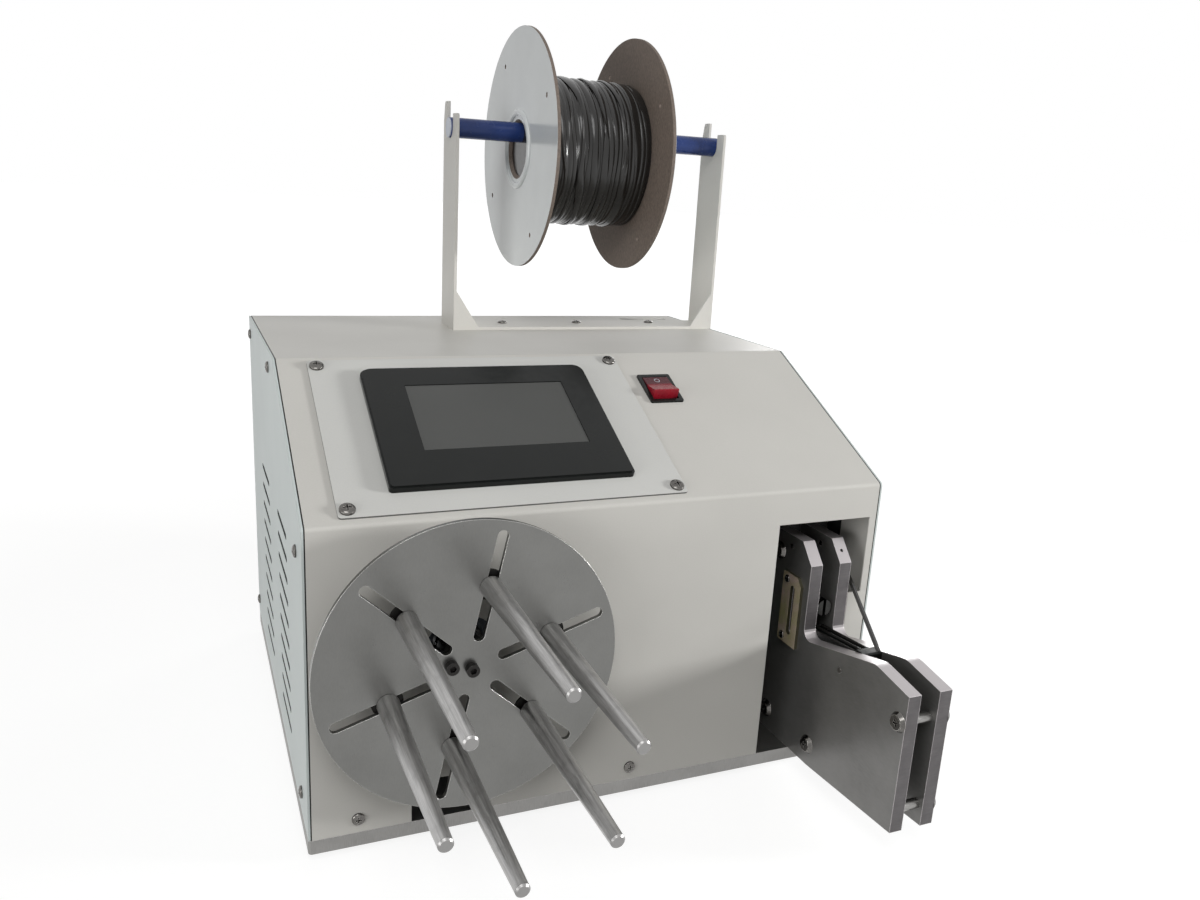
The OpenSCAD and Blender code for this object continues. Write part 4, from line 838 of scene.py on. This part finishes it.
class Finishes:
    """Every material of the machine, by slot."""

    def __init__(self) -> None:
        """Builds the materials."""
        recipes = self.recipes(Marks())
        self.by_slot = {slot: finish.build(slot.value) for slot, finish in recipes.items()}

    def recipes(self, marks: Marks) -> dict[Slot, Finish]:
        """The finish of each slot.

        Args:
            marks: the places where a finish changes.

        Returns:
            The recipes, by slot.
        """
        seam_top = marks.seam_top()
        disc_back = marks.disc_back()
        return {
            Slot.BASE_STEEL: Metal(Colour(142, 141, 139), 0.45, grain=(1.0, 1.0, 0.05)),
            Slot.BLACK_RUBBER: Moulding(Colour(34, 34, 35), 0.8, texture=900, depth=0.05 * MM),
            Slot.GREY_PAINT: Paint(Colour(221, 219, 213), seam=marks.cover_seam(), seam_top=seam_top),
            Slot.WHITE_PAINT: Paint(Colour(217, 225, 223), 0.4, seam=marks.panel_seam(),
                                   seam_top=seam_top, vents=marks.vents()),
            Slot.ZINC_STEEL: Plated(),
            Slot.PLATE_PAINT: Paint(Colour(222, 222, 218), cut_edge_shade=0.5, facing=marks.slope_normal()),
            Slot.BLACK_MOULDING: Moulding(Colour(27, 29, 28), 0.2, depth=0.004 * MM, gloss=0.2),
            Slot.SCREEN_GLASS: Screen(),
            Slot.RED_MOULDING: RockerRed(marks.rocker_fold()),
            Slot.BLUE_SLEEVE: Moulding(Colour(42, 64, 124), 0.24, texture=260, depth=0.02 * MM),
            Slot.WHITE_MOULDING: Moulding(Colour(206, 212, 224), 0.35),
            Slot.SPOOL_BOARD: SpoolBoard(*marks.winding_sides()),
            Slot.BLACK_TIE: Moulding(Colour(38, 37, 35), 0.2, texture=300, depth=0.02 * MM, gloss=0.5),
            Slot.DISC_STEEL: Metal(Colour(122, 122, 120), 0.3, grain=(0.5, 1.0, 0.12),
                                   grain_scale=2400, grain_depth=0.0004 * MM, edge=0.6 * MM,
                                   edge_light=1.8, stain=0.94, streak=0.15),
            Slot.BLACK_STEEL: Metal(Colour(52, 51, 50), 0.4, grain=(1.0, 1.0, 1.0), grain_scale=1200),
            Slot.TURNED_STEEL: Metal(Colour(150, 149, 147), 0.28, grain=(0.05, 1.0, 0.05),
                                     grain_scale=3200, shaded_behind=disc_back),
            Slot.CAST_HOUSING: Cast(Colour(104, 110, 116)),
            Slot.BEARING_STEEL: Metal(Colour(186, 187, 188), 0.16, grain=(0.1, 1.0, 0.1)),
            Slot.MILLED_ALUMINIUM: Metal(Colour(168, 169, 170), 0.36),
            Slot.MOTOR_PAINT: Cast(Colour(46, 47, 50), 0.5, pebble=700, depth=0.06 * MM),
            Slot.TIE_STEEL: GroundSteel(),
            Slot.YELLOW_ZINC: Chromate(),
            Slot.FINGER_STEEL: FingerSteel(marks.finger_tip(), disc_back - marks.disc_gap),
            Slot.ZINC_SHEET: Metal(Colour(160, 162, 164), 0.42, grain=(1.0, 1.0, 1.0), grain_scale=120,
                                   grain_depth=0.01 * MM),
            Slot.BOARD_GREEN: Board(),
        }

    def dress(self, piece: bpy.types.Object, slot: Slot) -> None:
        """Gives a piece one finish.

        Args:
            piece: a CAD node's object or a new piece.
            slot: the finish.
        """
        material = self.by_slot[slot]
        if piece.material_slots:
            for place in piece.material_slots:
                place.material = material
        else:
            piece.data.materials.append(material)


def add_piece(name: str, bm: bmesh.types.BMesh, body: str, slot: Slot, finishes: Finishes
              ) -> bpy.types.Object:
    """Turns a finished bmesh into a smooth piece of the machine, with its sharp edges kept.

    Args:
        name: the piece's name.
        bm: the bmesh, in the machine's frame; it is freed here.
        body: the CAD body that the piece rides on.
        slot: its finish.
        finishes: the machine's materials.

    Returns:
        The new object.
    """
    bmesh.ops.recalc_face_normals(bm, faces=bm.faces)
    mesh = bpy.data.meshes.new(name)
    bm.to_mesh(mesh)
    bm.free()
    mesh.polygons.foreach_set("use_smooth", [True] * len(mesh.polygons))
    mesh.set_sharp_from_angle(angle=SMOOTH_BELOW)
    piece = bpy.data.objects.new(name, mesh)
    bpy.context.scene.collection.objects.link(piece)
    finishes.dress(piece, slot)
    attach(piece, body)
    LOG.info("%s: %d faces, rides on %s", name, len(mesh.polygons), body)
    return piece


class Surface:
    """The outside of a CAD piece, which fine pieces are set on."""

    def __init__(self, node: str) -> None:
        """Reads the piece's mesh.

        Args:
            node: the CAD node's name.
        """
        bm = bmesh.new()
        bm.from_mesh(frame["nodes"][node].data)
        self.tree = BVHTree.FromBMesh(bm)
        bm.free()

    def below(self, x: float, y: float, ceiling: float = 1.0) -> tuple[Vector, Vector]:
        """The highest point over x and y under a ceiling, and the normal there."""
        point, normal, _, _ = self.tree.ray_cast(Vector((x, y, ceiling)), Vector((0, 0, -1)))
        return point, normal


def rounded_path(corners_mm: tuple[tuple[float, float, float], ...], cut: float, steps: int
                 ) -> list[Vector]:
    """A path through corners in millimetres, with each inner corner turned into a short curve.

    Args:
        corners_mm: the corners.
        cut: how far from a corner its curve starts, in metres.
        steps: points on each curve.

    Returns:
        The path's points in metres.
    """
    spots = [Vector(corner) * MM for corner in corners_mm]
    path = [spots[0]]
    for before, here, after in zip(spots, spots[1:], spots[2:]):
        first = here + (before - here).normalized() * cut
        last = here + (after - here).normalized() * cut
        for step in range(steps + 1):
            t = step / steps
            path.append(first.lerp(here, t).lerp(here.lerp(last, t), t))
    path.append(spots[-1])
    return path


def stations(path: list[Vector], across: Vector) -> list[Matrix]:
    """Placements along a path, with X kept close to one direction and Z along the path.

    Args:
        path: its points.
        across: where X points.

    Returns:
        A matrix for each point.
    """
    places = []
    for index, point in enumerate(path):
        ahead = (path[min(index + 1, len(path) - 1)] - path[max(index - 1, 0)]).normalized()
        side = (across - ahead * across.dot(ahead)).normalized()
        over = ahead.cross(side)
        places.append(Matrix.Translation(point) @ Matrix((side, over, ahead)).transposed().to_4x4())
    return places


def sweep(bm: bmesh.types.BMesh, ring: list[bmesh.types.BMVert], places: list[Matrix]) -> None:
    """Draws a flat ring through a row of placements, and closes both ends.

    Args:
        bm: the mesh that holds the ring.
        ring: the ring's vertices, about the origin in the XY plane.
        places: where the ring goes.
    """
    inside = set(ring)
    edges = [edge for edge in bm.edges if all(vert in inside for vert in edge.verts)]
    first = list(edges)
    bmesh.ops.transform(bm, matrix=places[0], verts=ring)
    for before, place in zip(places, places[1:]):
        made = bmesh.ops.extrude_edge_only(bm, edges=edges)["geom"]
        fresh = {item for item in made if isinstance(item, bmesh.types.BMVert)}
        edges = [item for item in made if isinstance(item, bmesh.types.BMEdge)
                 and all(vert in fresh for vert in item.verts)]
        bmesh.ops.transform(bm, matrix=place @ before.inverted(), verts=list(fresh))
    bmesh.ops.holes_fill(bm, edges=first + edges, sides=0)


@dataclass(frozen=True)
class WoundLayer:
    """One layer of the tie on the spool: how wide it lies, how far apart, and how untidy.

    First and last are where it starts and ends, as shares of the spool's width.
    """

    strand_width: float
    pitch: float
    wander: float
    rise: float
    sink: float
    first: float = 0.0
    last: float = 1.0
    seed: float = 0.0


@dataclass
class Winding:
    """The tie wound on the spool: a flat glossy strand in uneven layers, with some turns across."""

    strand_height: float = 1.9 * MM
    steps: int = 72
    sides: int = 8
    core_gap: float = 2.6 * MM
    core_sides: int = 96
    wave_along: float = 150
    wave_round: float = 1.3
    rise_shift: tuple[float, float, float] = (7.3, 2.1, 4.9)
    layers: tuple[WoundLayer, ...] = (
        WoundLayer(6.6 * MM, 4.9 * MM, 2.0 * MM, 0.5 * MM, 1.6 * MM),
        WoundLayer(6.0 * MM, 11.3 * MM, 3.4 * MM, 0.5 * MM, 0.8 * MM, 0.04, 0.93, 5.1),
        WoundLayer(5.6 * MM, 23.0 * MM, 6.0 * MM, 0.3 * MM, 0.0, 0.10, 0.88, 11.7),
    )

    def strand(self, layer: WoundLayer, low: Vector, high: Vector) -> bmesh.types.BMesh:
        """Winds one layer along the spool.

        Args:
            layer: its sizes.
            low: lowest corner of the winding's space.
            high: highest corner of that space.

        Returns:
            The strand, closed at both ends.
        """
        centre = (low + high) / 2
        radius = (high.z - low.z) / 2 - self.strand_height / 2 - layer.rise - layer.sink
        room = high.x - low.x - layer.strand_width
        turns = room * (layer.last - layer.first) / layer.pitch
        count = round(turns * self.steps)
        bm = bmesh.new()
        bmesh.ops.create_circle(bm, segments=self.sides, radius=0.5)
        bmesh.ops.scale(bm, vec=(layer.strand_width, self.strand_height, 1), verts=bm.verts)
        bmesh.ops.rotate(bm, cent=(0, 0, 0), matrix=Matrix.Rotation(math.pi / 2, 3, "X"), verts=bm.verts)
        start = Vector((low.x + layer.strand_width / 2 + room * layer.first, centre.y, centre.z + radius))
        bmesh.ops.translate(bm, vec=start, verts=bm.verts)
        bmesh.ops.spin(bm, geom=bm.verts[:] + bm.edges[:], cent=(start.x, centre.y, centre.z),
                       axis=(1, 0, 0), dvec=Vector((turns * layer.pitch / count, 0, 0)),
                       angle=2 * math.pi * turns, steps=count)
        rims = [edge for edge in bm.edges if edge.is_boundary]
        bmesh.ops.holes_fill(bm, edges=rims, sides=0)
        self.unsettle(bm, layer, low, high)
        return bm

    def unsettle(self, bm: bmesh.types.BMesh, layer: WoundLayer, low: Vector, high: Vector) -> None:
        """Lets the turns wander along the spool and ride up on each other.

        Args:
            bm: the wound strand.
            layer: its sizes.
            low: lowest corner of the winding's space.
            high: highest corner of that space.
        """
        centre = (low + high) / 2
        rise_shift = Vector(self.rise_shift)
        for vert in bm.verts:
            around = Vector((0, vert.co.y - centre.y, vert.co.z - centre.z)).normalized()
            place = Vector((vert.co.x * self.wave_along + layer.seed, around.y * self.wave_round,
                            around.z * self.wave_round))
            shift = noise.noise(place) * layer.wander
            vert.co.x = min(high.x, max(low.x, vert.co.x + shift))
            vert.co += around * noise.noise(place + rise_shift) * layer.rise

    def build(self, finishes: Finishes) -> None:
        """Makes the winding in the place of its CAD solid.

        Args:
            finishes: the machine's materials.
        """
        low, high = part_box("tie_winding")
        centre = (low + high) / 2
        whole = bmesh.new()
        for layer in self.layers:
            bm = self.strand(layer, low, high)
            part = bpy.data.meshes.new("layer")
            bm.to_mesh(part)
            bm.free()
            whole.from_mesh(part)
            bpy.data.meshes.remove(part)
        core = bmesh.ops.create_cone(whole, cap_ends=True, segments=self.core_sides, radius1=0.5,
                                     radius2=0.5, depth=1.0)
        core_radius = (high.z - low.z) / 2 - self.strand_height - self.core_gap
        shape = Matrix.Translation(centre) @ Matrix.Rotation(math.pi / 2, 4, "Y") @ Matrix.Diagonal(
            (2 * core_radius, 2 * core_radius, high.x - low.x, 1.0))
        bmesh.ops.transform(whole, matrix=shape, verts=core["verts"])
        piece = add_piece("wound_tie", whole, "spool", Slot.BLACK_TIE, finishes)
        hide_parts("tie_winding")


@dataclass
class FedTie:
    """The tie from its rollers past the right arm and across the notch: a wire in a flat jacket.

    The route's corners are in millimetres.
    """

    route: tuple[tuple[float, float, float], ...] = (
        (229.2, -34.0, 208.9), (229.2, -62.0, 208.9), (229.2, -133.0, 185.5), (207.2, -213.0, 148.5))
    width: float = 4.8 * MM
    wing: float = 0.5 * MM
    bead: float = 1.2 * MM
    bead_share: float = 0.34
    bend: float = 7.0 * MM
    bend_steps: int = 8
    sides: int = 24

    def build(self, finishes: Finishes) -> None:
        """Makes the strip in the place of its CAD solid.

        Args:
            finishes: the machine's materials.
        """
        bm = bmesh.new()
        ring = bmesh.ops.create_circle(bm, segments=self.sides, radius=1.0)["verts"]
        for vert in ring:
            near = max(0.0, 1 - (vert.co.x / self.bead_share) ** 2)
            thick = self.wing + (self.bead - self.wing) * near
            vert.co = Vector((vert.co.x * self.width / 2, vert.co.y * thick / 2, 0))
        path = rounded_path(self.route, self.bend, self.bend_steps)
        sweep(bm, ring, stations(path, Vector((1, 0, 0))))
        piece = add_piece("fed_tie", bm, "root", Slot.BLACK_TIE, finishes)
        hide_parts("tie_band")


@dataclass
class GuideRails:
    """Glossy round rails that the tie slides on, along the top of the black guide."""

    offsets: tuple[float, ...] = (-7.4 * MM, 0.0, 7.4 * MM)
    radius: float = 1.6 * MM
    proud: float = 1.0 * MM
    front: float = 13.0 * MM
    rear: float = 1.5 * MM
    steps: int = 26
    sides: int = 16

    def build(self, finishes: Finishes) -> None:
        """Lays the rails on the guide.

        Args:
            finishes: the machine's materials.
        """
        low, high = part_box("tie_guide")
        top = Surface("tie_guide")
        middle = (low.x + high.x) / 2
        run = high.y - low.y - self.front - self.rear
        bm = bmesh.new()
        for offset in self.offsets:
            x = middle + offset
            path = []
            for step in range(self.steps + 1):
                y = low.y + self.front + run * step / self.steps
                spot = top.below(x, y)[0]
                path.append(Vector((x, y, spot.z + self.proud - self.radius)))
            ring = bmesh.ops.create_circle(bm, segments=self.sides, radius=self.radius)["verts"]
            sweep(bm, ring, stations(path, Vector((1, 0, 0))))
        add_piece("guide_rails", bm, "root", Slot.BLACK_TIE, finishes)


@dataclass
class RockerMark:
    """The raised ring on the half of the rocker that lies in its frame."""

    radius: float = 2.5 * MM
    line: float = 0.7 * MM
    proud: float = 0.12 * MM
    back_share: float = 0.25
    sides: int = 8
    steps: int = 48
    merge: float = 0.001 * MM

    def build(self, finishes: Finishes) -> None:
        """Sets the ring on the rocker's face.

        Args:
            finishes: the machine's materials.
        """
        low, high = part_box("rocker_button")
        y = high.y - (high.y - low.y) * self.back_share
        spot, normal = Surface("rocker_button").below((low.x + high.x) / 2, y)
        bm = bmesh.new()
        bmesh.ops.create_circle(bm, segments=self.sides, radius=self.line / 2)
        bmesh.ops.scale(bm, vec=(1, 2 * self.proud / self.line, 1), verts=bm.verts)
        bmesh.ops.rotate(bm, cent=(0, 0, 0), matrix=Matrix.Rotation(math.pi / 2, 3, "X"), verts=bm.verts)
        bmesh.ops.translate(bm, vec=(self.radius, 0, 0), verts=bm.verts)
        bmesh.ops.spin(bm, geom=bm.verts[:] + bm.edges[:], cent=(0, 0, 0), axis=(0, 0, 1),
                       angle=2 * math.pi, steps=self.steps, use_merge=True)
        bmesh.ops.remove_doubles(bm, verts=bm.verts, dist=self.merge)
        turn = normal.to_track_quat("Z", "Y").to_matrix().to_4x4()
        bmesh.ops.transform(bm, matrix=Matrix.Translation(spot) @ turn, verts=bm.verts)
        add_piece("rocker_mark", bm, "rocker", Slot.WHITE_MOULDING, finishes)


class Housing:
    """The CAD pieces, which keep their shape and get their finish from the record's slots."""

    def __init__(self, finishes: Finishes) -> None:
        """Keeps the finishes.

        Args:
            finishes: the machine's materials.
        """
        self.finishes = finishes

    def build(self) -> None:
        """Dresses every node."""
        for part in frame["record"]["subparts"]:
            slot = Slot(part["material_slot"])
            self.finishes.dress(frame["nodes"][part["node"]], slot)
            LOG.info("%s: %s", part["node"], slot.value)


@dataclass(frozen=True)
class Lamp:
    """A square soft lamp: where it hangs, its side in metres, and its strength in watts."""

    name: str
    place: tuple[float, float, float]
    side: float
    watts: float

    def build(self, target: tuple[float, float, float]) -> None:
        """Hangs the lamp.

        Args:
            target: the place that it looks at.
        """
        light = bpy.data.lights.new(self.name, "AREA")
        light.shape = "SQUARE"
        light.size = self.side
        light.energy = self.watts
        lamp = bpy.data.objects.new(self.name, light)
        lamp.location = self.place
        lamp.rotation_euler = (Vector(target) - Vector(self.place)).to_track_quat("-Z", "Y").to_euler()
        bpy.context.scene.collection.objects.link(lamp)


@dataclass
class Studio:
    """Pale floor, white surroundings, soft lamps, and the camera at the photograph's place.

    The camera's azimuth, elevation and roll are in radians, its lens and sensor in millimetres.
    """

    floor_size: float = 40.0
    floor_colour: Colour = Colour(140, 140, 139)
    floor_roughness: float = 0.9
    floor_gloss: float = 0.1
    floor_lift: float = 0.84
    shadow_reach: float = 0.7
    world_light: float = 0.22
    middle: tuple[float, float, float] = (0.0, 0.0, 0.25)
    camera_place: tuple[float, float, float] = (-0.32274, -0.81621, 0.51341)
    azimuth: float = 0.413
    elevation: float = 0.260
    roll: float = 0.056
    lens: float = 29.73
    sensor: float = 36
    clip_start: float = 0.01
    lamps: tuple[Lamp, ...] = (
        Lamp("key_lamp", (2.3, -1.05, 0.66), 0.4, 42.0),
        Lamp("left_lamp", (-2.05, -1.0, 0.26), 1.2, 19.5),
        Lamp("front_lamp", (-0.5, -1.3, 1.8), 1.0, 12.0),
        Lamp("back_lamp", (1.9, 1.9, 0.6), 0.9, 19.0),
    )

    def seen_directly(self, tree: bpy.types.NodeTree) -> bpy.types.NodeSocket:
        """1 for rays that show the surroundings: to the camera, in reflections and through glass.

        Args:
            tree: the node tree that needs it.

        Returns:
            The value's socket.
        """
        path = tree.nodes.new("ShaderNodeLightPath")
        total = path.outputs["Is Camera Ray"]
        for name in ("Is Glossy Ray", "Is Transmission Ray"):
            node = tree.nodes.new("ShaderNodeMath")
            node.operation = "MAXIMUM"
            tree.links.new(total, node.inputs[0])
            tree.links.new(path.outputs[name], node.inputs[1])
            total = node.outputs["Value"]
        return total

    def floor(self) -> None:
        """A plain pale floor that keeps the machine's shadow and turns white away from it."""
        bm = bmesh.new()
        bmesh.ops.create_grid(bm, x_segments=1, y_segments=1, size=self.floor_size / 2)
        mesh = bpy.data.meshes.new("floor")
        bm.to_mesh(mesh)
        bm.free()
        floor = bpy.data.objects.new("floor", mesh)
        bpy.context.scene.collection.objects.link(floor)
        g = Graph("floor")
        away = g.add("VectorMath", {0: g.place}, operation="LENGTH").outputs["Value"]
        lift = g.remap(away, (self.shadow_reach, 3 * self.shadow_reach), (self.floor_lift, 1.0))
        glow = g.math("MULTIPLY", self.seen_directly(g.tree), lift)
        g.set(Base_Color=self.floor_colour.linear(), Roughness=self.floor_roughness,
              Specular_IOR_Level=self.floor_gloss, Emission_Color=WHITE, Emission_Strength=glow)
        mesh.materials.append(g.material)

    def world(self) -> None:
        """White all round where it is seen, and a quieter light on the machine."""
        world = bpy.data.worlds.new("studio")
        bpy.context.scene.world = world
        world.use_nodes = True
        tree = world.node_tree
        background = tree.nodes["Background"]
        background.inputs["Color"].default_value = WHITE
        level = tree.nodes.new("ShaderNodeMapRange")
        tree.links.new(self.seen_directly(tree), level.inputs["Value"])
        level.inputs["To Min"].default_value = self.world_light
        level.inputs["To Max"].default_value = 1.0
        tree.links.new(level.outputs["Result"], background.inputs["Strength"])

    def camera(self) -> None:
        """The photograph's own view."""
        az, el = self.azimuth, self.elevation
        ahead = Vector((math.sin(az) * math.cos(el), math.cos(az) * math.cos(el), -math.sin(el)))
        level = Vector((math.cos(az), -math.sin(az), 0))
        above = level.cross(ahead)
        right = math.cos(self.roll) * level + math.sin(self.roll) * above
        up = math.cos(self.roll) * above - math.sin(self.roll) * level
        data = bpy.data.cameras.new("camera")
        data.sensor_width = self.sensor
        data.sensor_fit = "HORIZONTAL"
        data.lens = self.lens
        data.clip_start = self.clip_start
        camera = bpy.data.objects.new("camera", data)
        axes = Matrix((right, up, -ahead)).transposed().to_4x4()
        camera.matrix_world = Matrix.Translation(self.camera_place) @ axes
        bpy.context.scene.collection.objects.link(camera)
        bpy.context.scene.camera = camera

    def build(self) -> None:
        """Sets everything up."""
        bpy.context.scene.view_settings.view_transform = "Standard"
        self.camera()
        self.floor()
        self.world()
        for lamp in self.lamps:
            lamp.build(self.middle)


def main() -> None:
    """Builds the studio and the machine, in order."""
    logging.basicConfig(level=logging.INFO, format="%(message)s")
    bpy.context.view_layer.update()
    Studio().build()
    finishes = Finishes()
    Housing(finishes).build()
    for piece in (Winding(), FedTie(), GuideRails(), RockerMark()):
        piece.build(finishes)


if __name__ == "__main__":
    main()
